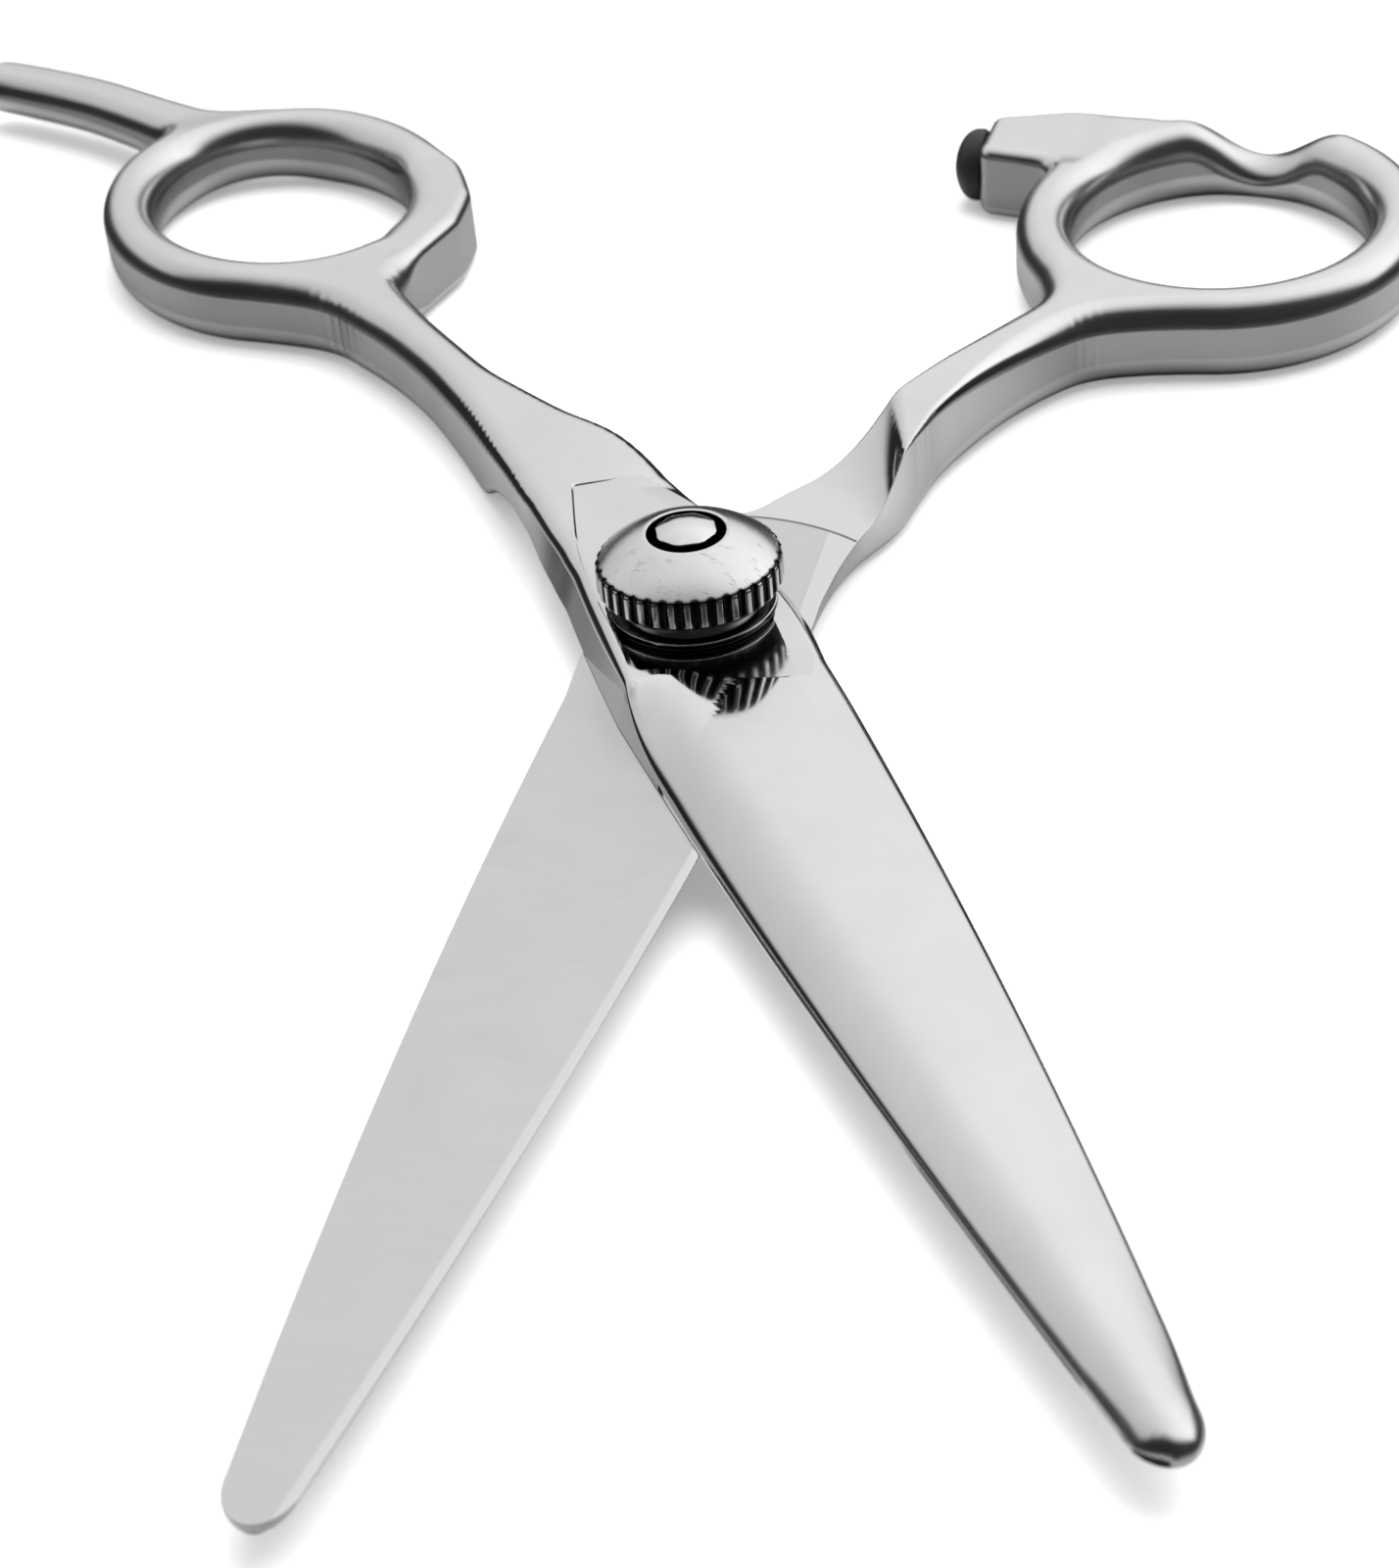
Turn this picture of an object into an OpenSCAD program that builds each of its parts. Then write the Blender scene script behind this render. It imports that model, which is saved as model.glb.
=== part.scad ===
// Hair cutting shears: two forged halves that turn on a ball-race pivot with a click tension dial.
// Millimetres. The origin lies on the pivot axis, in the plane that the shears rest on.
// -Y runs to the blade tips, +Y to the finger rings, +Z up through the dial.
// Each half is drawn closed, with its blade along -Y, and is then swung open about the pivot.

/* [Shears] */
// Angle between the two blades at rest
open_angle = 33; // [20:1:34]
// Pivot axis to blade tip
blade_l = 70.6; // [60:0.1:80]
// Thickness of one half at the pivot
half_t = 3.15; // [3:0.05:3.6]
// Gap between the inner faces of the two halves
ride_gap = 0.06; // [0.04:0.01:0.1]

/* [Blades] */
// Pivot axis to cutting edge at the heel
edge_heel = 7.3; // [6.8:0.1:8]
// Pivot axis to spine at the heel
spine_heel = 6; // [5.8:0.1:6.6]
// Length of the rounded blade tip
tip_l = 2.6; // [1.8:0.1:3.2]
// Height of the steep bevel above the cutting edge
edge_t = 0.3; // [0.2:0.05:0.6]
// Greatest thickness of the blade at its tip
tip_t = 1.5; // [1:0.1:2]

/* [Handles] */
// Width of a ring's rim
rim_w = 4.2; // [3.8:0.1:5]
// Half width of the finger hole
finger_hole_a = 10.3; // [10:0.1:11]
// Half length of the finger hole
finger_hole_b = 14.2; // [12:0.1:15]
// Half width of the thumb hole
thumb_hole_a = 11.2; // [10:0.1:12]
// Half length of the thumb hole
thumb_hole_b = 13.3; // [12:0.1:14]
// Depth of the thumb saddle in the far side of the thumb ring
saddle_depth = 3.1; // [1:0.1:3.5]
// Closed blades: x of the pad on the finger ring that the bumper meets
stop_x = 1.7; // [1.5:0.1:2.5]

/* [Pivot] */
// Diameter of the pivot bolt's journal
journal_d = 5; // [4.6:0.1:5.4]
// Running clearance on the radius of the pivot bolt
running_c = 0.03; // [0.02:0.01:0.08]
// Diameter of the tension dial over its knurl
dial_d = 11.6; // [10.8:0.1:12]
// Number of flutes around the dial
flutes = 36; // [24:1:48]
// Diameter of the hole in the dome of the dial
dial_hole_d = 4.9; // [4.4:0.1:5.2]
// Number of balls in the race
race_balls = 10; // [6:1:12]
// Number of click dimples under the dial
clicks = 24; // [12:1:24]

/* [Hidden] */
$fn = 48;

steel = [0.78, 0.79, 0.80];
dark_steel = [0.25, 0.25, 0.27];
spring_steel = [0.55, 0.56, 0.60];
rubber_black = [0.05, 0.05, 0.05];
polymer = [0.85, 0.84, 0.78];

swing = open_angle / 2;
gap = ride_gap / 2;
handle_t = 2 * half_t;
eps = 0.01;

// Heights above the ride plane, which lies between the two halves
seat_z = 2.0;          // floor of the seat milled in the finger half
race_z = 0.95;         // floor of the ball race
ball_r = 0.45;
race_r = 3.55;         // radius of the ball circle
cup_z = race_z + 2 * ball_r + 0.01;
cup_top = seat_z + 0.6;
spring_top = cup_top + 0.45;
plate_top = spring_top + 0.45;
dial_z = plate_top + 0.02;
knurl_z = dial_z + 0.25;
knurl_top = knurl_z + 2.1;
hole_floor = dial_z + 2.5;
dome_top = knurl_top + 2;
bolt_top = hole_floor - 0.03;

journal_r = journal_d / 2;
bush_r = journal_r + 0.7;
race_bore_r = race_r + 1.05;
cup_r = 5.3;
neck_r = journal_r - 0.2;
neck_flat = neck_r - 0.4;   // half the distance across the neck's two flats
thread_r = 1.5;
stem_r = 0.7;
head_r = 4.1;
head_flat = 3.4;
head_t = 1.3;
head_floor = head_t - half_t;
washer_r = 4.2;
washer_t = 0.5;
click_r = 3.7;
click_ball_r = 0.38;
click_count = 3;
dial_hole_r = dial_hole_d / 2;
bumper_stem_r = 1.2;

// Blade planform: the cutting edge and the spine are gentle arcs that run from the heel
heel_y = -8;
tip_y = tip_l - blade_l;
function edge_x(y) = let (d = heel_y - y) -edge_heel + 0.050 * d + 0.00068 * d * d;
function spine_x(y) = let (d = heel_y - y) spine_heel - 0.020 * d - 0.00078 * d * d;
tip_x = (edge_x(tip_y) + spine_x(tip_y)) / 2;
tip_w = (spine_x(tip_y) - edge_x(tip_y)) / 2;
function tip_half(y) = tip_w * sqrt(max(0.01, 1 - pow((tip_y - y) / tip_l, 2)));

// A smooth curve through a list of points, with n steps between neighbours
function spline_at(a, b, c, d, t) =
    0.5 * (2 * b + (c - a) * t + (2 * a - 5 * b + 4 * c - d) * t * t + (3 * b - a - 3 * c + d) * t * t * t);
function smooth(p, n) = let (m = len(p) - 1) [
    for (i = [0 : m - 1]) for (k = [0 : n - 1])
        spline_at(p[max(i - 1, 0)], p[i], p[i + 1], p[min(i + 2, m)], k / n),
    p[m]
];

// Pivot block planform, from the heel up into the shank, as [y, left x, right x]
block = smooth([
    [heel_y, -edge_heel, spine_heel],
    [-2, -7.2, 6.5],
    [4, -6.95, 6.0],
    [9, -6.6, 5.4],
    [12, -6.3, 4.4],
    [14.5, -5.9, 3.1]
], 3);

// Outer face of a half: highest near the cutting side, falling in a soft crown to the spine
crown_steps = 9;
function crown(u, u_peak, z_edge, z_peak, z_spine) = u < u_peak
    ? z_edge + (z_peak - z_edge) * sin(90 * u / u_peak)
    : z_spine + (z_peak - z_spine) * cos(90 * (u - u_peak) / (1 - u_peak));
function crown_u(k) = pow(k / crown_steps, 1.3);

// One cross-section of a half: [x, y, z] points, first the inner face, then the outer face.
// The inner face is drawn a little low and is trimmed flat with the ride plane later.
under = -0.3;
function section(y, xl, xr, z_edge, z_peak, z_spine, u_peak) =
    let (x0 = xl + 0.22 * z_edge)
    concat(
        [[xl, y, under], [xr, y, under]],
        [for (k = [crown_steps : -1 : 0]) let (u = crown_u(k))
            [x0 + (xr - x0) * u, y, crown(u, u_peak, z_edge, z_peak, z_spine)]]
    );
function blade_section(y) =
    let (
        s = (heel_y - y) / (blade_l + heel_y),
        wall = edge_t + (block_t - edge_t) * exp((y - heel_y) / 3),
        peak = block_t + (tip_t - block_t) * s,
        in_tip = y < tip_y,
        xl = in_tip ? tip_x - tip_half(y) : edge_x(y),
        xr = in_tip ? tip_x + tip_half(y) : spine_x(y),
        fade = in_tip ? pow(tip_half(y) / tip_w, 0.4) : 1
    )
    section(y, xl, xr, wall * fade, max(peak * fade, wall * fade), 0.42 * peak * fade, 0.3 + 0.15 * s);
tip_steps = 6;
blade_steps = 16;
blade_ys = concat(
    [for (i = [tip_steps : -1 : 1]) tip_y - tip_l * sin(90 * i / (tip_steps + 0.2))],
    [for (i = [0 : blade_steps]) tip_y + (heel_y - tip_y) * (1 - pow(1 - i / blade_steps, 1.4))]
);
block_t = half_t - 0.04;
plate_sections = concat(
    [for (y = blade_ys) blade_section(y)],
    [for (i = [1 : len(block) - 1])
        section(block[i][0], block[i][1], block[i][2], block_t, block_t, 1.3 + 0.1 * i, 0.3)]
);

// Closed solid through a list of cross-sections with equal numbers of points.
// A looped one joins its last section to its first and has no end faces.
module loft(sections, looped = false) {
    m = len(sections[0]);
    n = len(sections);
    skin = [for (i = [0 : looped ? n - 1 : n - 2]) for (k = [0 : m - 1])
        let (a = i * m, b = ((i + 1) % n) * m, c = (k + 1) % m)
        each [[a + k, b + c, b + k], [a + k, a + c, b + c]]];
    ends = looped ? [] : [[for (k = [m - 1 : -1 : 0]) k], [for (k = [0 : m - 1]) (n - 1) * m + k]];
    polyhedron(points = [for (s = sections) each s], faces = concat(skin, ends));
}

// A squared round: the corner sharpness e is 2 for an ellipse and higher for a squarer bar
tube_sides = 16;
function squared(c, e) = sign(c) * pow(abs(c), 2 / e);
// Cross-section of a bar at p that runs along direction d, with its width, top, bottom and sharpness
function bar_section(p, d, w, top, bottom, e) =
    let (n = [d[1], -d[0]] / norm(d))
    [for (k = [0 : tube_sides - 1])
        let (
            a = 360 * (k + 0.5) / tube_sides,
            side = 180 / tube_sides,
            across = w / 2 * squared(cos(a) / cos(side), e),
            up = squared(sin(a) / cos(side), e)
        )
        [p[0] + n[0] * across, p[1] + n[1] * across, up > 0 ? up * top : -up * bottom]];

// A bar through rows of [x, y, width, sharpness, top, bottom], smoothed
module bar(rows, n) {
    r = smooth(rows, n);
    m = len(r) - 1;
    loft([for (i = [0 : m])
        let (d = r[min(i + 1, m)] - r[max(i - 1, 0)])
        bar_section(r[i], [d[0], d[1]], r[i][2], r[i][4], r[i][5], r[i][3])]);
}

// Finger or thumb ring around an oval hole, with an optional saddle sunk in its top at angle dip_at
ring_steps = 48;
module ring(centre, a, b, tilt, dip = 0, dip_at = 90) {
    dip_w = 30;
    translate(centre)
        rotate(tilt)
            loft([for (i = [0 : ring_steps - 1])
                let (
                    t = 360 * i / ring_steps,
                    out = [b * cos(t), a * sin(t)] / norm([b * cos(t), a * sin(t)]),
                    off = min(1, abs(t - dip_at) / dip_w),
                    top = half_t - dip * (0.5 + 0.5 * cos(180 * off))
                )
                bar_section([a * cos(t), b * sin(t)] + out * rim_w / 2, [-out[1], out[0]], rim_w, top, -half_t, 2.6)],
                looped = true);
}

finger_hole = [-12.9, 74.3];
finger_tilt = 7;
finger_shank = [
    [-1.0, 9, 9.2, 5, half_t, -half_t],
    [-1.2, 14, 10.1, 5, half_t, -half_t],
    [-2.4, 20.5, 9.0, 5, half_t, -half_t],
    [-3.8, 25.5, 7.0, 4, half_t, -half_t],
    [-5.0, 30.5, 5.4, 3.4, half_t, -half_t],
    [-6.1, 35, 4.3, 3, half_t, -half_t],
    [-7.1, 40, 3.9, 2.6, half_t, -half_t],
    [-8.5, 46, 4.1, 2.6, half_t, -half_t],
    [-10.0, 52, 5.4, 2.6, half_t, -half_t],
    [-11.0, 57.5, 8.6, 2.6, half_t, -half_t]
];
finger_rest = [
    [-15.0, 90.2, 7.0, 2.4, 2.9, -2.6],
    [-17.4, 93.4, 5.6, 2.3, 2.9, -2.2],
    [-20.4, 98.6, 4.6, 2.2, 2.8, -1.8],
    [-24.6, 105.8, 4.6, 2.2, 2.7, -1.7],
    [-31.6, 114.6, 4.6, 2.2, 2.6, -1.8],
    [-33.0, 116.2, 4.0, 2.2, 2.4, -1.5],
    [-33.8, 117.1, 2.2, 2.2, 1.8, -0.9]
];
thumb_hole = [24.8, 59.8];
thumb_shank = [
    [2.2, 8, 8.0, 5, half_t, -half_t],
    [3.8, 13, 7.6, 5, half_t, -half_t],
    [5.9, 18, 5.2, 5, half_t, -half_t],
    [7.2, 22.5, 4.5, 4, half_t, -half_t],
    [8.6, 27, 4.0, 3.4, half_t, -half_t],
    [10.6, 32, 3.9, 3, half_t, -half_t],
    [13.1, 37, 4.0, 2.6, half_t, -half_t],
    [15.8, 41.3, 4.8, 2.6, half_t, -half_t],
    [18.4, 45.2, 7.6, 2.6, half_t, -half_t]
];
boss_y = 71.6;
boss_w = 7.4;
boss_x = stop_x + 2.7;
saddle_at = 83;

// Flat pad that squares off the inner side of the finger ring
module stop_pad() {
    pad_h = handle_t - 0.5;
    linear_extrude(pad_h, center = true)
        polygon([[-8.4, 54], [-6.7, 56.4], [-0.8, 62], [stop_x, 65.5], [stop_x, 74.5], [-1.5, 74.5], [-4, 62], [-9, 58]]);
}

// Block on the thumb ring that carries the rubber bumper
module boss() {
    corner_r = 1.2;
    hull()
        for (side = [-1, 1], level = [-1, 1])
            translate([boss_x, boss_y + side * (boss_w / 2 - corner_r), level * (half_t - 0.2 - corner_r)])
                rotate([0, 90, 0])
                    cylinder(r = corner_r, h = 11.6, $fn = 16);
}

// What is cut away under the finger half: the other half's side of the ride plane, with a swoop
swoop_y = 18.3;
swoop_r = 18;
module below_ride() {
    floor_z = -12;
    translate([-30, 0, 0])
        rotate([90, 0, 90])
            linear_extrude(60)
                polygon(concat(
                    [[-100, floor_z], [-100, gap]],
                    [for (a = [0 : 5 : 80]) [swoop_y + swoop_r * sin(a), gap - swoop_r * (1 - cos(a))]],
                    [[swoop_y + swoop_r, floor_z]]
                ));
}

// What is cut away above the thumb half: the other half's side of the ride plane, and a scoop
// that fans out across the shank about a point beside it
scoop_at = [11.9, 9.9];
scoop_foot = 144;           // direction of the line along which the scoop starts
scoop_crest = 106.3;        // direction of the line along which it reaches the full handle
scoop_radii = [60, 26, 17, 11.5, 8, 5.5, 3];
function scoop_section(a, z) =
    let (rim = [scoop_radii[6], scoop_radii[0]])
    concat(
        [for (r = rim) [scoop_at[0] + r * cos(a), scoop_at[1] + r * sin(a), 12]],
        [for (r = scoop_radii) [scoop_at[0] + r * cos(a), scoop_at[1] + r * sin(a), z]]
    );
module above_ride() {
    turn = scoop_foot - scoop_crest;
    translate([-30, -100, -gap])
        cube([60, 100 + scoop_at[1], 12 + gap]);
    loft(concat(
        [scoop_section(180, -gap)],
        [for (t = [0 : 0.1 : 1.2]) scoop_section(scoop_foot - t * turn, half_t * pow(t, 2.5) - gap)]
    ));
}

// Seat for the dial, milled in the outer face of the finger half: flat under the dial, rising
// towards the shank, and running out in a ramp along the blade
module seat() {
    difference() {
        translate([0, 0, seat_z])
            linear_extrude(4)
                polygon(concat(
                    smooth([[-5.45, -7.15], [-5.6, -3], [-5.6, 2], [-5.1, 8], [-3.3, 16]], 4),
                    [[-0.9, 15.8], [1.4, 16.1], [4.6, 11.6], [9, 9], [9, -10.6], [2.9, -9.8]],
                    smooth([[0.5, -8.9], [-2.4, -7.9], [-5.45, -7.15]], 3)
                ));
        translate([-10, 6, seat_z])
            rotate([90, 0, 90])
                linear_extrude(20)
                    polygon([[0, -1], [0, 0], [12, 1.2], [12, -1]]);
    }
    rotate(-18.2)
        translate([-8, -8.05, seat_z])
            rotate([90, 0, 90])
                linear_extrude(17)
                    polygon([[2, 0], [0, 0], [-8, 1.15], [-8, 2], [2, 2]]);
}

module finger_blank() {
    difference() {
        union() {
            loft(plate_sections);
            bar(finger_shank, 3);
            ring(finger_hole, finger_hole_a, finger_hole_b, finger_tilt);
            bar(finger_rest, 3);
            stop_pad();
        }
        below_ride();
        seat();
    }
}

module thumb_blank() {
    difference() {
        union() {
            rotate([0, 180, 0])
                loft(plate_sections);
            bar(thumb_shank, 3);
            ring(thumb_hole, thumb_hole_a, thumb_hole_b, 0, saddle_depth, saddle_at);
            boss();
        }
        above_ride();
    }
}

// Flat-sided round shape, for the keyed neck and head of the bolt and what fits them
module double_d(r, flat) {
    intersection() {
        circle(r = r);
        square([4 * r, 2 * flat], center = true);
    }
}

// Places a shape on the finger half's side or the thumb half's side of the open shears
module finger_side() {
    translate([0, 0, half_t])
        rotate(swing)
            children();
}
module thumb_side() {
    translate([0, 0, half_t])
        rotate(-swing)
            children();
}

module finger_half() {
    color(steel)
        finger_side()
            difference() {
                resize([0, 0, 0])
                    finger_blank();
                translate([0, 0, -1])
                    cylinder(r = bush_r, h = 4);
                translate([0, 0, race_z])
                    cylinder(r = race_bore_r, h = 4);
            }
}

module thumb_half() {
    color(steel)
        thumb_side()
            difference() {
                resize([0, 0, 0])
                    thumb_blank();
                translate([0, 0, -5])
                    cylinder(r = journal_r + running_c, h = 6);
                translate([0, 0, -gap - washer_t])
                    cylinder(r = washer_r + 0.02, h = 2);
                translate([0, 0, head_floor - 3])
                    linear_extrude(3)
                        double_d(head_r + 0.05, head_flat + 0.03);
                translate([boss_x - 1, boss_y, 0])
                    rotate([0, 90, 0])
                        cylinder(r = bumper_stem_r + 0.02, h = 4.5);
            }
}

// Black rubber bumper: a dome on a stem that plugs into the boss on the thumb ring
module stop_bumper() {
    dome_r = 2.9;
    base_x = boss_x - stop_x - 0.1;
    color(rubber_black)
        thumb_side()
            translate([boss_x, boss_y, 0])
                rotate([0, -90, 0])
                    rotate_extrude()
                        polygon(concat(
                            [[0, base_x]],
                            [for (a = [80 : -10 : 10]) [dome_r * cos(a), base_x - 1.9 * (1 - sin(a))]],
                            [[dome_r, base_x - 1.9], [dome_r, 0.02], [bumper_stem_r, 0.02], [bumper_stem_r, -3.3], [0, -3.3]]
                        ));
}

module pivot_bolt() {
    color(steel)
        thumb_side()
            difference() {
                union() {
                    translate([0, 0, head_floor - head_t])
                        linear_extrude(head_t)
                            double_d(head_r, head_flat);
                    translate([0, 0, head_floor - eps])
                        cylinder(r = journal_r, h = cup_z - 0.05 - head_floor);
                    linear_extrude(plate_top - 0.02)
                        double_d(neck_r, neck_flat);
                    cylinder(r = thread_r, h = bolt_top);
                }
                translate([0, 0, bolt_top - 2])
                    cylinder(r = stem_r + 0.02, h = 3);
            }
}

module pivot_bush() {
    color(polymer)
        finger_side()
            translate([0, 0, gap])
                difference() {
                    cylinder(r = bush_r, h = race_z - gap);
                    translate([0, 0, -1])
                        cylinder(r = journal_r + running_c, h = 3);
                }
}

module ride_washer() {
    color(polymer)
        thumb_side()
            translate([0, 0, -gap - washer_t])
                difference() {
                    cylinder(r = washer_r, h = washer_t + 2 * gap - 0.01);
                    translate([0, 0, -1])
                        cylinder(r = journal_r + running_c, h = 3);
                }
}

// Places a child at each ball of the race
module each_ball() {
    for (i = [0 : race_balls - 1])
        rotate(360 * i / race_balls)
            translate([race_r, 0, race_z + ball_r + 0.005])
                children();
}

module bearing_cage() {
    cage_h = 0.5;
    color(polymer)
        translate([0, 0, half_t])
            difference() {
                translate([0, 0, race_z + ball_r - cage_h / 2])
                    cylinder(r = race_bore_r - 0.1, h = cage_h);
                cylinder(r = journal_r + 0.1, h = 4);
                each_ball()
                    cylinder(r = ball_r + 0.02, h = 2, center = true);
            }
}

module bearing_balls() {
    color(steel)
        translate([0, 0, half_t])
            each_ball()
                sphere(r = ball_r);
}

// Flanged cup that closes the ball race and shows as a bright rim under the dial
module bearing_cup() {
    color(steel)
        thumb_side()
            difference() {
                union() {
                    translate([0, 0, cup_z])
                        cylinder(r = race_bore_r - 0.05, h = cup_top - cup_z);
                    translate([0, 0, seat_z + 0.04])
                        cylinder(r1 = cup_r - 0.15, r2 = cup_r, h = 0.15, $fn = 96);
                    translate([0, 0, seat_z + 0.19])
                        cylinder(r = cup_r, h = cup_top - seat_z - 0.19, $fn = 96);
                }
                linear_extrude(5)
                    double_d(neck_r + 0.03, neck_flat + 0.03);
            }
}

// Coned spring washer that loads the race
module spring_washer() {
    spring_t = 0.2;
    color(spring_steel)
        thumb_side()
            rotate_extrude()
                polygon([
                    [neck_r + 0.1, spring_top - spring_t], [4.3, cup_top],
                    [4.3, cup_top + spring_t], [neck_r + 0.1, spring_top]
                ]);
}

module click_plate() {
    color(dark_steel)
        thumb_side()
            difference() {
                translate([0, 0, spring_top])
                    cylinder(r = 4.7, h = plate_top - spring_top);
                linear_extrude(5)
                    double_d(neck_r + 0.03, neck_flat + 0.03);
                rotate_extrude()
                    translate([click_r, plate_top + click_ball_r - 0.12])
                        circle(r = click_ball_r + 0.02);
                for (i = [0 : clicks - 1])
                    rotate(360 * i / clicks)
                        translate([click_r, 0, plate_top + 0.05])
                            sphere(r = 0.3, $fn = 24);
            }
}

// Places a child at each click ball, in the groove of the click plate
module each_click() {
    for (i = [0 : click_count - 1])
        rotate(360 * i / click_count)
            translate([click_r, 0, plate_top + click_ball_r - 0.12])
                children();
}

module click_balls() {
    color(steel)
        thumb_side()
            each_click()
                sphere(r = click_ball_r);
}

// A coil of round wire standing on z = 0
module coil(r, wire_r, turns, height) {
    steps = 12 * turns;
    sides = 6;
    function ring(i) = let (a = 30 * i, z = wire_r + (height - 2 * wire_r) * i / steps)
        [for (k = [0 : sides - 1]) let (b = 360 * k / sides, d = r + wire_r * cos(b))
            [d * cos(a), d * sin(a), z + wire_r * sin(b)]];
    loft([for (i = [0 : steps]) ring(i)]);
}

module click_springs() {
    color(spring_steel)
        thumb_side()
            each_click()
                translate([0, 0, click_ball_r + 0.01])
                    coil(0.27, 0.07, 5, 1.3);
}

// Knurled dome nut that sets the tension
module tension_dial() {
    r = dial_d / 2;
    dome_w = r - 0.35;
    rise = dome_top - knurl_top;
    dome_r = (dome_w * dome_w + rise * rise) / (2 * rise);
    color(steel)
        thumb_side()
            difference() {
                union() {
                    translate([0, 0, dial_z])
                        cylinder(r = 4.9, h = 1);
                    translate([0, 0, knurl_z])
                        cylinder(r1 = r - 0.25, r2 = r, h = 0.25, $fn = 96);
                    translate([0, 0, knurl_z + 0.25])
                        cylinder(r = r, h = knurl_top - knurl_z - 0.4, $fn = 96);
                    intersection() {
                        translate([0, 0, dome_top - dome_r])
                            sphere(r = dome_r, $fn = 96);
                        translate([0, 0, knurl_top - 0.35])
                            cylinder(r = r, h = rise + 1, $fn = 96);
                    }
                }
                for (i = [0 : flutes - 1])
                    rotate(360 * i / flutes)
                        translate([r + 0.08, 0, knurl_z - 1])
                            cylinder(r = 0.32, h = knurl_top - knurl_z + 1, $fn = 16);
                cylinder(r = thread_r + 0.03, h = 12);
                translate([0, 0, hole_floor])
                    cylinder(r = dial_hole_r, h = 5);
                each_click()
                    translate([0, 0, -click_ball_r])
                        cylinder(r = click_ball_r + 0.03, h = click_ball_r + 1.75);
            }
}

// Eight-sided domed screw in the end of the bolt, which keeps the dial on
module cap_screw() {
    cap_r = 1.85;
    cap_z = hole_floor + 0.02;
    cap_top = dome_top + 0.15;
    dome_r = 4.2;
    color(steel)
        thumb_side() {
            intersection() {
                translate([0, 0, cap_z])
                    cylinder(r = cap_r / cos(22.5), h = 4, $fn = 8);
                translate([0, 0, cap_z])
                    cylinder(r = cap_r + 0.08, h = 4);
                translate([0, 0, cap_top - dome_r])
                    sphere(r = dome_r);
            }
            translate([0, 0, bolt_top - 1.8])
                cylinder(r = stem_r, h = cap_z + 0.1 - bolt_top + 1.8);
        }
}

finger_half();
thumb_half();
stop_bumper();
pivot_bolt();
pivot_bush();
ride_washer();
bearing_cage();
bearing_balls();
bearing_cup();
spring_washer();
click_plate();
click_balls();
click_springs();
tension_dial();
cap_screw();
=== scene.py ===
import math

import bpy
import numpy as np
from mathutils import Matrix, Vector
from mathutils.geometry import delaunay_2d_cdt
from mathutils.kdtree import KDTree


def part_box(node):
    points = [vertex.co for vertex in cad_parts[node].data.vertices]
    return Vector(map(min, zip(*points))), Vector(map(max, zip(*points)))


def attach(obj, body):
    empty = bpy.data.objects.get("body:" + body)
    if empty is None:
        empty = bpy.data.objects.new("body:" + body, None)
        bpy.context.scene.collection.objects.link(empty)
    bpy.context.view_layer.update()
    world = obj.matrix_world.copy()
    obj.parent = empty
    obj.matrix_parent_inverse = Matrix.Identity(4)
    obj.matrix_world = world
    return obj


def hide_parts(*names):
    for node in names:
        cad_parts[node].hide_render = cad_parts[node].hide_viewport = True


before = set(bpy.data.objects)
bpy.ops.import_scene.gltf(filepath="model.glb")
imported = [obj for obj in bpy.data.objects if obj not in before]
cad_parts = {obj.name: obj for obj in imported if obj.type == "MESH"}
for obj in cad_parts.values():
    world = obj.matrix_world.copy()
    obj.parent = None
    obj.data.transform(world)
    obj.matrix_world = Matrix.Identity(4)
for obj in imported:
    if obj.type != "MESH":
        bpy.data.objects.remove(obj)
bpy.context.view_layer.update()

# Hair cutting shears. Shapes are worked out in millimetres and stored in metres.
# Each half is shaped in its own closed frame: origin on the pivot axis in the ride plane, the
# blade along -Y, the cutting edge at -X and the outer face up. The thumb half is then turned over.

MM = 0.001
LOW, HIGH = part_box("finger_half")
HALF_T = (HIGH.z - LOW.z) / 2 / MM  # thickness of one half at the pivot
PIVOT_Z = (HIGH.z + LOW.z) / 2 / MM  # height of the ride plane
SWING = math.radians(16.5)  # each blade stands this far from the centre line
GAP = 0.03  # the ride plane to the inner face of a half

# Blade and pivot block
BLADE_L = 70.6  # from the pivot axis to the tip
TIP_L = 2.6  # length of the rounded tip
TIP_Y = TIP_L - BLADE_L
HEEL_Y = -8.0  # where the blade meets the pivot block
EDGE_AT_HEEL = -7.3  # the cutting edge leaves the heel here, on a parabola
EDGE_SLOPE = 0.050
EDGE_BEND = 0.00068
SPINE_AT_HEEL = 6.0  # the spine does too
SPINE_SLOPE = -0.020
SPINE_BEND = -0.00078
EDGE_T = 0.3
TIP_T = 1.5
BLOCK_T = HALF_T - 0.04
SPINE_T = 1.3  # thickness at the side of the pivot block
WALL_LEAN = 0.22  # how far the wall over the cutting edge leans, for its height

# Seat for the dial, and the ramp that runs out of it along the blade
SEAT_Z = 2.0
SEAT_RISE_Y = 6.0
SEAT_RISE = 0.1
RAMP_TURN = math.radians(18.2)
RAMP_Y = -8.05
RAMP_L = 7.2

# Swoop under the finger shank, and the oblique scoop over the thumb shank
SWOOP_Y = 18.3
SWOOP_R = 16.0
SCOOP_X = 11.9
SCOOP_Y = 9.9
SCOOP_FOOT = 144.0
SCOOP_CREST = 106.3

# Rings
RIM_W = 4.2
SOFT_EDGE = 0.9  # rounding of the stop pad and the boss
HOLE_EDGE = 1.9  # least rounding of the holes, in plan

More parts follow.
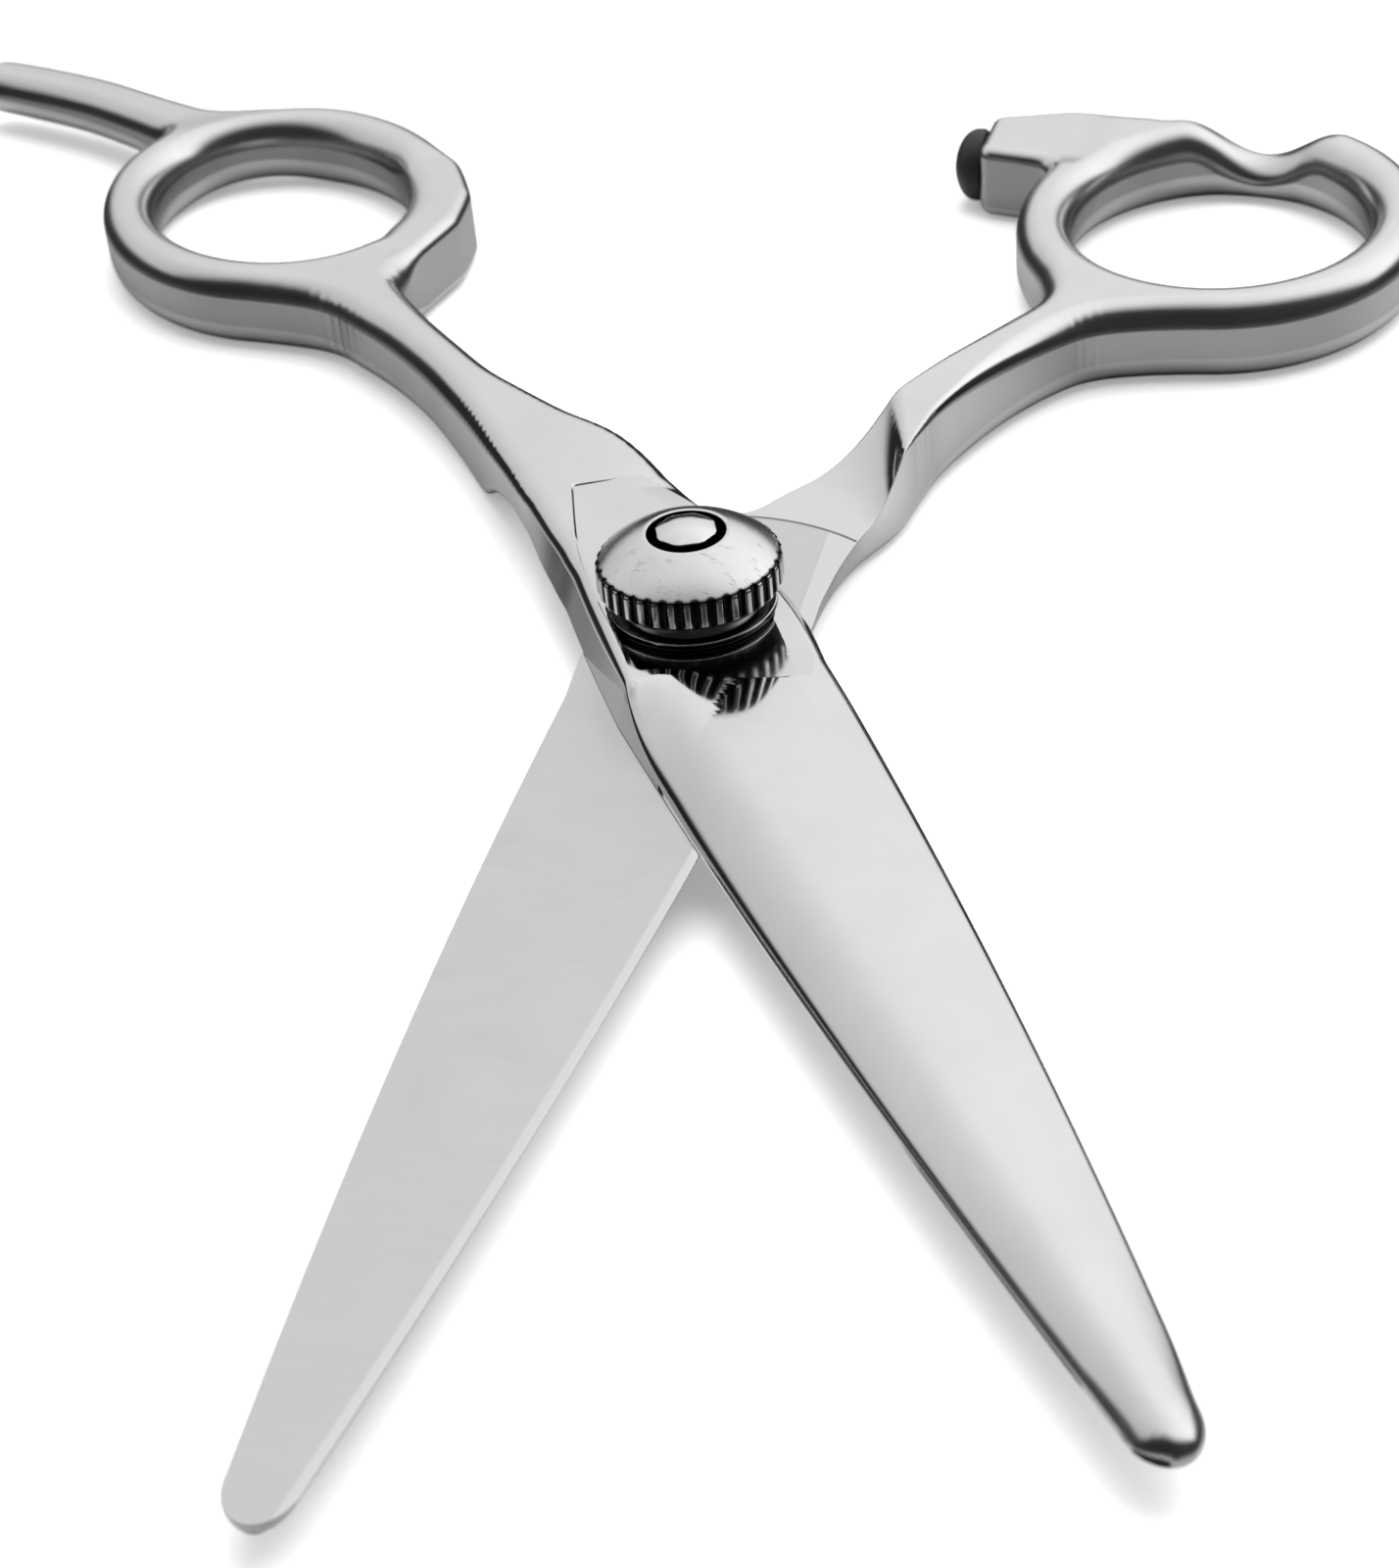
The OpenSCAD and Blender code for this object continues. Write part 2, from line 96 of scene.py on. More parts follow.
# Pivot stack, as heights above the ride plane and radii
WASHER_Z = 0.53
RACE_Z = 0.95
THREAD_R = 1.5
BUSH_R = 3.2
RACE_BORE = 4.6
CUP_R = 5.3
CUP_Z = 1.86
CUP_TOP = 2.6
CUP_BORE = 2.33
DIAL_R = 5.8
DIAL_HOLE_R = 2.45
DIAL_BORE = THREAD_R + 0.03
DIAL_SKIRT_R = 4.9
DIAL_Z = 3.52
KNURL_Z = 3.77
KNURL_TOP = 5.87
HOLE_FLOOR = 6.02
DOME_TOP = 7.87
FLUTES = 36
CAP_R = 1.93
CAP_FLAT = 1.85  # half of the width across the cap's flats
CAP_DOME_R = 4.2
HEAD_R = 4.1
HEAD_FLAT = 3.4
HEAD_FLOOR = HALF_T - 1.3
BUMPER_R = 2.9
ROUND = 99  # wider than any bore, so the two flats don't cut it

# Mesh steps in millimetres: along an outline, of the lattice inside it, and rows round an edge
STEP_LONG = 0.42
STEP_SHORT = 0.09
LATTICE = 0.35
EDGE_ROWS = 9
SWOOP_ROWS = (SWOOP_Y, 24.4, 24.9, 25.4)  # rows of points across the swoop of the ride side
OUTLINE_START = [-7.2, 0]  # a point near the outline of both halves


def smoothstep(lo, hi, x):
    t = np.clip((x - lo) / (hi - lo), 0, 1)
    return t * t * (3 - 2 * t)


def ramp(x, *stops):
    """A smooth line through stops of (x, value)."""
    xs, values = zip(*stops)
    x = np.asarray(x, float)
    out = np.full(x.shape, float(values[0]))
    for a, b, va, vb in zip(xs, xs[1:], values, values[1:]):
        out = out + (vb - va) * smoothstep(a, b, x)
    return out


def smooth_min(a, b, k):
    h = np.maximum(k - np.abs(a - b), 0) / k
    return np.minimum(a, b) - h * h * k / 4


def spline(rows, n):
    """A smooth curve through rows of numbers, with n steps between neighbours."""
    p = np.array(rows, float)
    m = len(p) - 1
    out = []
    for i in range(m):
        a, b, c, d = p[max(i - 1, 0)], p[i], p[i + 1], p[min(i + 2, m)]
        for t in np.arange(n) / n:
            out.append(0.5 * (2 * b + (c - a) * t + (2 * a - 5 * b + 4 * c - d) * t * t
                              + (3 * b - a - 3 * c + d) * t ** 3))
    out.append(p[-1])
    return np.array(out)


# ---------------------------------------------------------------- plan fields

def inside(p, loop):
    """True for each point of p that lies inside the closed loop."""
    result = np.zeros(len(p), bool)
    a, b = loop, np.roll(loop, -1, axis=0)
    for start in range(0, len(p), 4000):
        x, y = p[start:start + 4000, :1], p[start:start + 4000, 1:]
        spans = (a[:, 1] > y) != (b[:, 1] > y)
        rise = np.where(b[:, 1] == a[:, 1], 1e-12, b[:, 1] - a[:, 1])
        at = a[:, 0] + (y - a[:, 1]) / rise * (b[:, 0] - a[:, 0])
        result[start:start + 4000] = (spans & (x < at)).sum(1) % 2 == 1
    return result


def to_polygon(p, loop):
    """Signed distance to a closed polygon, negative inside."""
    a, b = loop, np.roll(loop, -1, axis=0)
    ab = b - a
    ap = p[:, None] - a[None]
    t = np.clip((ap * ab).sum(2) / (ab * ab).sum(1), 0, 1)
    d = np.sqrt(((ap - t[..., None] * ab) ** 2).sum(2).min(1))
    return np.where(inside(p, loop), -d, d)


def to_chain(p, rows):
    """Distance to a bar of varying width, given as rows of [x, y, width]."""
    a, ab = rows[:-1, :2], rows[1:, :2] - rows[:-1, :2]
    ap = p[:, None] - a[None]
    t = np.clip((ap * ab).sum(2) / (ab * ab).sum(1), 0, 1)
    d = np.sqrt(((ap - t[..., None] * ab) ** 2).sum(2))
    width = rows[:-1, 2] + t * (rows[1:, 2] - rows[:-1, 2])
    return (d - width / 2).min(1)


def turn(p, angle):
    c, s = math.cos(angle), math.sin(angle)
    return np.stack([c * p[..., 0] - s * p[..., 1], s * p[..., 0] + c * p[..., 1]], -1)


class Oval:
    """A finger or thumb hole: an ellipse, tilted by an angle."""

    def __init__(self, centre, a, b, tilt):
        self.centre, self.a, self.b, self.tilt = np.array(centre), a, b, tilt
        t = np.linspace(0, 2 * math.pi, 241)[:-1]
        self.loop = turn(np.stack([a * np.cos(t), b * np.sin(t)], 1), tilt) + self.centre

    def distance(self, p):
        return to_polygon(p, self.loop)

    def at_angle(self, p):
        """The angle round the hole of each point, in degrees."""
        q = turn(p - self.centre, -self.tilt)
        return np.degrees(np.arctan2(q[:, 1] / self.b, q[:, 0] / self.a))


def gradient(field, p, h=0.02):
    """Unit vector away from the shape at each point."""
    dx, dy = np.array([h, 0]), np.array([0, h])
    both = field(np.concatenate([p + dx, p - dx, p + dy, p - dy]))
    n = len(p)
    g = np.stack([both[:n] - both[n:2 * n], both[2 * n:3 * n] - both[3 * n:]], 1) / (2 * h)
    return g / np.maximum(np.linalg.norm(g, axis=1, keepdims=True), 1e-9)


def trace(field, start):
    """Walks once round the zero line of a field, with short steps where it bends."""
    def settle(q):
        for _ in range(3):
            q = q - field(q)[:, None] * gradient(field, q)
        return q

    first = settle(np.array([start], float))
    points = [first[0]]
    p, step = first, STEP_SHORT
    out = gradient(field, p)[0]
    travelled = 0.0
    while travelled < 2000:
        along = np.array([[-out[1], out[0]]])
        q = settle(p + along * step)
        new_out = gradient(field, q)[0]
        if float(new_out @ out) < math.cos(math.radians(7)) and step > STEP_SHORT:
            step = max(STEP_SHORT, step / 2)
            continue
        travelled += step
        p, out = q, new_out
        if travelled > 5 and np.linalg.norm(p - first) < step * 1.2:
            break
        points.append(p[0])
        step = min(STEP_LONG, step * 1.4)
    return np.array(points)


# ---------------------------------------------------------------- mesh assembly

class Skin:
    """Patches of faces with a normal at each face corner, welded into one mesh."""

    def __init__(self):
        self.points, self.corners, self.normals, self.sizes, self.slots = [], [], [], [], []
        self.count = 0

    def add(self, points, faces, corner_normals, slot=0):
        """faces is M x 3 or M x 4; corner_normals has one row for each face corner."""
        faces = np.asarray(faces)
        normals = np.asarray(corner_normals, float).reshape(len(faces), faces.shape[1], 3)
        p = points[faces]
        d1 = p[:, 2] - p[:, 0]
        d2 = p[:, -1] - p[:, 1]
        if faces.shape[1] == 3:
            d1, d2 = p[:, 1] - p[:, 0], p[:, 2] - p[:, 0]
        face_n = np.cross(d1, d2)
        keep = np.linalg.norm(face_n, axis=1) > 1e-7
        faces, normals, face_n = faces[keep], normals[keep], face_n[keep]
        flip = (face_n * normals.sum(1)).sum(1) < 0
        faces = np.where(flip[:, None], faces[:, ::-1], faces)
        normals = np.where(flip[:, None, None], normals[:, ::-1], normals)
        self.points.append(points)
        self.corners.append((faces + self.count).ravel())
        self.normals.append(normals.reshape(-1, 3))
        self.sizes.append(np.full(len(faces), faces.shape[1]))
        self.slots.append(np.broadcast_to(slot, len(keep))[keep])
        self.count += len(points)

    def grid(self, rows, out):
        """A band of quads over closed rows[k][s]. out is the rough outward way at each point."""
        rows = np.asarray(rows)
        k, n = rows.shape[:2]
        along = np.roll(rows, -1, 1) - np.roll(rows, 1, 1)
        across = np.gradient(rows, axis=0) if k > 2 else np.repeat((rows[-1:] - rows[:1]), k, 0)
        normal = np.cross(along, across)
        size = np.linalg.norm(normal, axis=2, keepdims=True)
        normal = normal / np.maximum(size, 1e-12)
        sign = np.where((normal * out).sum(2, keepdims=True) < 0, -1, 1)
        normal = normal * sign
        index = np.arange(k * n).reshape(k, n)
        a, b = index[:-1], index[1:]
        faces = np.stack([a, np.roll(a, -1, 1), np.roll(b, -1, 1), b], -1).reshape(-1, 4)
        self.add(rows.reshape(-1, 3), faces, normal.reshape(-1, 3)[faces])

    def build(self, name, place, materials):
        """Makes the object. place turns local millimetres into frame millimetres."""
        points = np.concatenate(self.points)
        corners = np.concatenate(self.corners)
        sizes = np.concatenate(self.sizes)
        slots = np.concatenate(self.slots)
        normals = np.concatenate(self.normals)
        keys = np.round(points / 2e-4).astype(np.int64)
        _, first, where = np.unique(keys, axis=0, return_index=True, return_inverse=True)
        where = where.ravel()
        used = points[first]
        corners = where[corners]
        faces, face_slots, kept_corners, start = [], [], [], 0
        for slot, size in zip(slots.tolist(), sizes.tolist()):
            face = corners[start:start + size].tolist()
            distinct = [j for j in range(size) if face[j] != face[j - 1]]
            if len(set(face)) == len(distinct) >= 3:
                faces.append([face[j] for j in distinct])
                face_slots.append(slot)
                kept_corners.extend(start + j for j in distinct)
            start += size
        mesh = bpy.data.meshes.new(name)
        world = place(used) * MM
        mesh.from_pydata(world.tolist(), [], faces)
        mesh.update()
        turned = place(normals[kept_corners]) - place(np.zeros((1, 3)))
        mesh.polygons.foreach_set("use_smooth", [True] * len(faces))
        mesh.polygons.foreach_set("material_index", face_slots)
        attribute = mesh.attributes.new("local", "FLOAT_VECTOR", "POINT")
        attribute.data.foreach_set("vector", used.astype(np.float32).ravel())
        mesh.normals_split_custom_set(turned.tolist())
        obj = bpy.data.objects.new(name, mesh)
        bpy.context.scene.collection.objects.link(obj)
        for material in materials:
            mesh.materials.append(material)
        return obj


def height_normals(height, points, faces, sign):
    """Normals of the surface z = height(x, y) at each face corner, seen from just inside it."""
    corner = points[faces][..., :2]
    centre = corner.mean(1, keepdims=True)
    q = (corner * 0.88 + centre * 0.12).reshape(-1, 2)
    h = 0.02
    dx, dy = np.array([h, 0]), np.array([0, h])
    gx = (height(q + dx) - height(q - dx)) / (2 * h)
    gy = (height(q + dy) - height(q - dy)) / (2 * h)
    n = np.stack([-gx, -gy, np.ones(len(q))], 1) * sign
    return n / np.linalg.norm(n, axis=1, keepdims=True)


def fill(loops, lines, spacing):
    """Triangles between the first loop and the others. Edges follow the lines."""
    points, edges = [], []

    def chain(line, closed):
        start = len(points)
        points.extend(line.tolist())
        n = len(line)
        edges.extend((start + i, start + i + 1) for i in range(n - 1))
        if closed:
            edges.append((start + n - 1, start))

    for loop in loops:
        chain(loop, True)
    for line in lines:
        chain(line, False)
    tree = KDTree(len(points))
    for i, p in enumerate(points):
        tree.insert((p[0], p[1], 0), i)
    tree.balance()
    lo, hi = loops[0].min(0), loops[0].max(0)
    nx, ny = ((hi - lo) / LATTICE).astype(int) + 1
    ix, iy = np.meshgrid(np.arange(nx), np.arange(ny), indexing="ij")
    lattice = np.stack([lo[0] + ix.ravel() * LATTICE, lo[1] + iy.ravel() * LATTICE], 1)
    skip = spacing(lattice)
    keep = (ix.ravel() % skip == 0) & (iy.ravel() % skip == 0)
    lattice, skip = lattice[keep], skip[keep]
    within = inside(lattice, loops[0])
    for loop in loops[1:]:
        within &= ~inside(lattice, loop)
    for p, s in zip(lattice[within], skip[within]):
        if tree.find((p[0], p[1], 0))[2] > 0.55 * LATTICE * s:
            points.append(p.tolist())
    made = delaunay_2d_cdt([Vector(p) for p in points], edges, [], 0, 1e-6)
    verts = np.array([v[:] for v in made[0]])
    faces = np.array(made[2])
    centre = verts[faces].mean(1)
    ok = inside(centre, loops[0])
    for loop in loops[1:]:
        ok &= ~inside(centre, loop)
    return verts, faces[ok]


# ---------------------------------------------------------------- one forged half

def edge_x(y):
    """The cutting edge's line."""
    d = HEEL_Y - y
    return EDGE_AT_HEEL + EDGE_SLOPE * d + EDGE_BEND * d * d


def spine_x(y):
    """The spine's line, on the other side of the blade."""
    d = HEEL_Y - y
    return SPINE_AT_HEEL + SPINE_SLOPE * d + SPINE_BEND * d * d


# Left and right side of the pivot block, as rows of [y, left x, right x]
BLOCK = spline([
    [-8, -7.3, 6], [-2, -7.2, 6.5], [4, -6.95, 6.0], [9, -6.6, 5.4], [12, -6.3, 4.3], [14.5, -5.6, 2.6]
], 4)


def plate_outline():
    """Plan of the blade and the pivot block, anticlockwise from the block's left end."""
    y = np.linspace(HEEL_Y, TIP_Y, 30)
    left = np.stack([edge_x(y), y], 1)
    right = np.stack([spine_x(y), y], 1)[::-1]
    mid = (edge_x(TIP_Y) + spine_x(TIP_Y)) / 2
    half = (spine_x(TIP_Y) - edge_x(TIP_Y)) / 2
    a = np.radians(np.arange(8, 180, 8))
    tip = np.stack([mid - half * np.cos(a), TIP_Y - TIP_L * np.sin(a)], 1)
    block_left = BLOCK[::-1][:-1][:, [1, 0]]
    block_right = BLOCK[1:][:, [2, 0]]
    return np.concatenate([block_left, left, tip, right, block_right])


def tip_fade(y):
    """Thickness left at the rounded tip, from 1 down to about 0.4."""
    t = np.clip((TIP_Y - y) / TIP_L, 0, 0.995)
    return (1 - t * t) ** 0.2


def outer_height(p):
    """Height of the outer face above the ride plane, before the seat is milled."""
    x, y = p[:, 0], p[:, 1]
    s = np.clip((HEEL_Y - y) / (BLADE_L + HEEL_Y), 0, 1)
    in_blade = y < HEEL_Y
    peak = np.where(in_blade, BLOCK_T + (TIP_T - BLOCK_T) * s,
                    BLOCK_T + (HALF_T - BLOCK_T) * smoothstep(10, 20, y))
    past_heel = np.exp((np.minimum(y, HEEL_Y) - HEEL_Y) / 3)
    wall = np.where(in_blade, EDGE_T + (BLOCK_T - EDGE_T) * past_heel, peak)
    low = np.where(in_blade, 0.42 * peak, SPINE_T + (HALF_T - SPINE_T) * smoothstep(4, 24, y))
    xl = np.where(in_blade, edge_x(y), np.interp(y, BLOCK[:, 0], BLOCK[:, 1]))
    xr = np.where(in_blade, spine_x(y), np.interp(y, BLOCK[:, 0], BLOCK[:, 2]))
    x0 = xl + WALL_LEAN * wall
    u = np.clip((x - x0) / (xr - x0), 0, 1)
    u_peak = 0.3 + 0.15 * s
    rising = wall + (peak - wall) * np.sin(np.pi / 2 * np.minimum(u / u_peak, 1)) ** (1 - 0.3 * s)
    falling = low + (peak - low) * np.cos(np.pi / 2 * np.clip((u - u_peak) / (1 - u_peak), 0, 1))
    return np.where(u < u_peak, rising, falling) * tip_fade(y)


def run_out(p, height):
    """The blade dips towards the seat in a shallow ramp, in which the dial is mirrored."""
    c, s = math.cos(RAMP_TURN), math.sin(RAMP_TURN)
    from_seat = RAMP_Y - (c * p[:, 1] + s * p[:, 0])
    share = 0.1 + 0.9 * smooth_min(np.clip(from_seat, 0, None) / RAMP_L, np.ones(len(p)), 0.25)
    share = np.maximum(share, smoothstep(-0.2, -1.4, from_seat))
    share = np.maximum(share, smoothstep(1.5, -5.0, p[:, 0]))
    return np.where(height > SEAT_Z, SEAT_Z + (height - SEAT_Z) * share, height)


def straight_swoop(p):
    """Drop from the ride face: a round scoop square across the shank."""
    reach = np.clip((p[:, 1] - SWOOP_Y) / SWOOP_R, 0, 0.985)
    return SWOOP_R * (1 - np.sqrt(1 - reach * reach))


def oblique_swoop(p):
    """Drop from the ride face: a scoop that turns about a point beside the shank."""
    dx, dy = -p[:, 0] - SCOOP_X, p[:, 1] - SCOOP_Y
    angle = np.degrees(np.arctan2(dy, dx))
    angle = np.where(angle < -30, angle + 360, angle)
    t = np.clip((SCOOP_FOOT - angle) / (SCOOP_FOOT - SCOOP_CREST), 0, 2)
    return HALF_T * t ** 3


class Half:
    """What differs between the two forged halves, and their shared shape functions."""

    def __init__(self, hole, shank, extras):
        self.hole, self.shank, self.extras = hole, spline(shank, 6), extras
        self.plate = plate_outline()

    def plan(self, p):
        d = smooth_min(to_polygon(p, self.plate), to_chain(p, self.shank), 2.0)
        d = smooth_min(d, self.hole.distance(p) - RIM_W, 5.0)
        for shape, k in self.extras:
            d = smooth_min(d, shape(p), k)
        return d

    def ride_side(self, p, swoop, crest):
        """Height of the inner side: the ride face, then the swoop down to the full handle."""
        return -smooth_min(swoop(p) - GAP, np.full(len(p), HALF_T), crest)


# Shanks and the finger rest are rows of [x, y, width]
FINGER_HOLE = Oval([-12.9, 74.3], 10.3, 14.2, math.radians(7))
FINGER_SHANK = [
    [-1.4, 9, 9.4], [-1.6, 14, 10.1], [-2.4, 20.5, 9.0], [-3.8, 25.5, 7.0], [-5.0, 30.5, 5.4],
    [-6.1, 35, 4.3], [-7.1, 40, 3.9], [-8.5, 46, 4.1], [-10.0, 52, 5.4], [-11.0, 57.5, 7.4]
]
FINGER_REST = spline([
    [-15.0, 90.2, 6.2], [-17.4, 93.4, 5.4], [-20.4, 98.6, 4.7], [-24.6, 105.8, 4.6], [-29.5, 112.2, 4.6],
    [-31.9, 114.9, 4.5]
], 6)
STOP_PAD = np.array([
    [-9.2, 56.0], [-7.6, 58.4], [-2.8, 63.2], [-1.0, 67.0], [-1.0, 72.0], [-4, 73.4], [-6, 64], [-10, 58.6]
])
PAD_R = 2.2
PAD_SUNK = 0.2  # the stop pad and the boss are this much thinner on each face

THUMB_HOLE = Oval([-24.8, 59.8], 11.2, 13.3, 0)
THUMB_SHANK = [
    [-2.2, 8, 8.0], [-3.8, 14, 7.9], [-5.9, 18.5, 6.6], [-7.2, 22.3, 5.1], [-8.5, 26.5, 4.1],
    [-10.6, 32, 3.9], [-13.1, 37, 4.0], [-15.8, 41.3, 4.8], [-18.4, 45.2, 7.0]
]
BOSS = np.array([[-5.6, 69.1], [-5.6, 74.1], [-11, 75.6], [-17, 75], [-17, 68], [-13, 67.5]])
BOSS_R = 1.2
BOSS_X = 4.4
BOSS_Y = 71.6
SADDLE_DEPTH = 3.1  # saddle in the thumb ring, placed by degrees round the hole
SADDLE_AT = 83
SADDLE_W = 30


class FingerHalf(Half):
    def __init__(self):
        super().__init__(FINGER_HOLE, FINGER_SHANK, [
            (lambda p: to_chain(p, FINGER_REST), 3.5),
            (lambda p: to_polygon(p, STOP_PAD) - PAD_R, 2.0),
        ])

    def crisp(self, p):
        """1 on the stop pad, whose edges are rounded tightly."""
        x, y = p[:, 0], p[:, 1]
        return smoothstep(-8.5, -6, x) * smoothstep(54.5, 57.5, y) * (1 - smoothstep(73, 78, y))

    def outer(self, p):
        """The finger rest is a little lower than the ring, and thinner to its tip."""
        lowered = 0.25 * smoothstep(88, 94, p[:, 1]) + 0.3 * smoothstep(96, 118, p[:, 1])
        return run_out(p, outer_height(p)) - lowered - PAD_SUNK * self.crisp(p)

    def inner(self, p):
        lift = ramp(p[:, 1], (86, 0), (93, 0.95), (99, 1.35), (117, 1.4))
        return self.ride_side(p, straight_swoop, 0.6) + lift + PAD_SUNK * self.crisp(p)


class ThumbHalf(Half):
    def __init__(self):
        super().__init__(THUMB_HOLE, THUMB_SHANK, [
            (lambda p: to_polygon(p, BOSS) - BOSS_R, 1.5),
        ])

    def crisp(self, p):
        """1 on the boss, whose edges are rounded tightly."""
        x, y = p[:, 0], p[:, 1]
        return smoothstep(-15, -12, x) * smoothstep(65, 67.5, y) * (1 - smoothstep(76, 79, y))

    def outer(self, p):
        return outer_height(p) - PAD_SUNK * self.crisp(p)

    def inner(self, p):
        """The ride side, with the saddle for the thumb dipped into the far side of the ring."""
        mirrored = np.stack([2 * THUMB_HOLE.centre[0] - p[:, 0], p[:, 1]], 1)
        off = np.clip(np.abs(THUMB_HOLE.at_angle(mirrored) - SADDLE_AT) / SADDLE_W, 0, 1)
        dip = SADDLE_DEPTH * (0.5 + 0.5 * np.cos(np.pi * off))
        saddle = dip * smoothstep(60, 66, p[:, 1])
        return self.ride_side(p, oblique_swoop, 0.4) + saddle + PAD_SUNK * self.crisp(p)


def edge_profile(half, p, of_hole):
    """Plan width and drop of the rounding at outline points, for the outer and the inner face."""
    y = p[:, 1]
    thick = half.outer(p) - half.inner(p)
    full = np.minimum(thick / 2, ramp(y, (12, 1.3), (36, 2.5 if of_hole else 2.0)))
    grow = ramp(y, (2, 0), (40, 1))
    inner_grow = ramp(y, (18, 0), (42, 1))
    outer_w = ramp(y, (-70, 0.7), (-64, 0.3), (HEEL_Y, 0.6), (2, 1.15), (20, 1.5), (40, 1.7))
    outer_h = ramp(y, (-70, 0.7), (-64, 0.1), (HEEL_Y - 6, 0.3), (2, 1.0)) * (1 - grow) + full * grow
    inner_w = ramp(y, (16, 0.05), (26, 0.45), (42, 1.7))
    inner_h = ramp(y, (16, 0.05), (26, 0.45)) * (1 - inner_grow) + full * inner_grow
    crisp = half.crisp(p)
    outer_w, outer_h, inner_w, inner_h = (
        size + (SOFT_EDGE - size) * crisp for size in (outer_w, outer_h, inner_w, inner_h))
    if of_hole:
        outer_w, inner_w = np.maximum(outer_w, HOLE_EDGE), np.maximum(inner_w, HOLE_EDGE)
    return outer_w, np.minimum(outer_h, 0.75 * thick), inner_w, inner_h


def forge(half, bores, name, place, materials, seat=None):
    """The skin of one half. bores is the stack of loops through it at the pivot, from the top down."""
    skin = Skin()
    outline = trace(half.plan, OUTLINE_START)
    oval = half.hole.loop
    up = np.array([0, 0, 1.0])
    angles = np.radians(np.linspace(0, 90, EDGE_ROWS))
    top_loops, bottom_loops = [], []
    for loop, away in ((outline, gradient(half.plan, outline)),
                       (oval, -gradient(half.hole.distance, oval))):
        outer_w, outer_h, inner_w, inner_h = edge_profile(half, loop, loop is oval)
        lean = cutting_wall(half, loop, away) if loop is outline else np.zeros(len(loop))
        crown = half.outer(loop - away * (lean + outer_w)[:, None])
        height = np.clip(crown - half.inner(loop), 0.05, None)
        outer_h = np.minimum(outer_h, height * 0.5)
        inner_h = np.minimum(inner_h, height * 0.5)
        rows, low = [], []
        for a in angles:
            q = loop - away * (lean + outer_w * (1 - math.sin(a)))[:, None]
            rows.append(np.column_stack([q, half.outer(q) - outer_h * (1 - math.cos(a))]))
            q = loop - away * (inner_w * (1 - math.sin(a)))[:, None]
            low.append(np.column_stack([q, half.inner(q) + inner_h * (1 - math.cos(a))]))
        away3 = np.column_stack([away, np.zeros(len(away))])
        skin.grid(rows, out=away3 + up * 0.5)
        skin.grid(low, out=away3 - up * 0.5)
        skin.grid([rows[-1], low[-1]], out=away3)
        top_loops.append(rows[0][:, :2])
        bottom_loops.append(low[0][:, :2])

    def cover(loops, lines, height, sign, slot_at):
        verts, faces = fill(loops, lines, lattice_skip)
        points = np.column_stack([verts, height(verts)])
        normals = height_normals(height, points, faces, sign)
        skin.add(points, faces, normals, slot_at(verts[faces].mean(1)))

    def plain(centres):
        return np.zeros(len(centres), int)

    def ride_face(centres):
        return ((half.inner(centres) > GAP - 0.05) & (centres[:, 1] < 22)).astype(int)

    if seat is None:
        cover(top_loops + [bores[0][0]], [], half.outer, 1, plain)
    else:
        rim, foot = mill_seat(skin, half, seat)
        cover(top_loops + [rim], [], half.outer, 1, plain)
        cover([foot, bores[0][0]], [seat_crease(half, foot)],
              lambda p: np.minimum(half.outer(p), seat_floor_z(p)), 1, lambda c: plain(c) + 2)
    across = np.arange(-14, 6, LATTICE)
    lines = [np.column_stack([across, np.full(len(across), y)]) for y in SWOOP_ROWS]
    lines = [line[inside(line, bottom_loops[0])] for line in lines]
    cover(bottom_loops + [bores[-1][0]], lines, half.inner, -1, ride_face)
    for (upper, z_up), (lower, z_low) in zip(bores, bores[1:]):
        z_up = half.outer(upper) if z_up is None else np.full(len(upper), z_up)
        rows = [np.column_stack([upper, z_up]), np.column_stack([lower, np.full(len(lower), z_low)])]
        wider = np.abs(upper).max() - np.abs(lower).max()
        toward = -np.column_stack([upper, z_up * 0]) if abs(wider) < 1e-6 else up * np.sign(wider)
        skin.grid(rows, out=toward)
    return skin.build(name, place, materials)


def lattice_skip(p):
    """Coarser points away from the pivot: 1, 2 or 3 steps of the lattice."""
    y = p[:, 1]
    return np.where((y > -14) & (y < 28), 1, np.where(y < 0, 2, 3))


def cutting_wall(half, loop, away):
    """Plan width of the leaning wall above the cutting edge, at each outline point."""
    facing = smoothstep(-0.2, -0.6, away[:, 0])
    height = np.clip(half.outer(loop), 0, None)
    return WALL_LEAN * height * facing * (1 - smoothstep(8, 20, loop[:, 1]))


def seat_floor_z(p):
    """The seat is level under the dial and runs out towards the shank."""
    return SEAT_Z + SEAT_RISE * np.clip(p[:, 1] - SEAT_RISE_Y, 0, None)


def mill_seat(skin, half, seat):
    """Chamfer and wall round the seat. Returns the loops where the outer face and the floor start."""
    lip, corner_r = 0.12, 0.35
    rim = trace(lambda p: to_polygon(p, seat) - corner_r - lip, seat[0] - [corner_r + lip, 0])
    away = gradient(lambda p: to_polygon(p, seat), rim)
    foot = rim - away * lip
    floor = np.minimum(half.outer(foot), seat_floor_z(foot))
    chamfer = np.clip(half.outer(foot) - floor, 0, 0.2) * 0.5
    edge = np.column_stack([rim, half.outer(rim)])
    under = np.column_stack([foot, np.maximum(half.outer(foot) - chamfer, floor)])
    toward = np.column_stack([-away, np.full(len(away), 0.5)])
    skin.grid([edge, under], out=toward)
    skin.grid([under, np.column_stack([foot, floor])], out=toward)
    return rim, foot


def seat_crease(half, foot):
    """Where the falling outer face meets the floor of the seat."""
    y = np.arange(-9.6, 10.4, 0.3)
    lo, hi = np.full(len(y), 0.0), np.full(len(y), 6.4)
    for _ in range(30):
        mid = (lo + hi) / 2
        here = np.column_stack([mid, y])
        above = half.outer(here) > seat_floor_z(here)
        lo, hi = np.where(above, mid, lo), np.where(above, hi, mid)
    line = np.column_stack([lo, y])
    return line[inside(line, foot)]


# ---------------------------------------------------------------- loops and turned parts

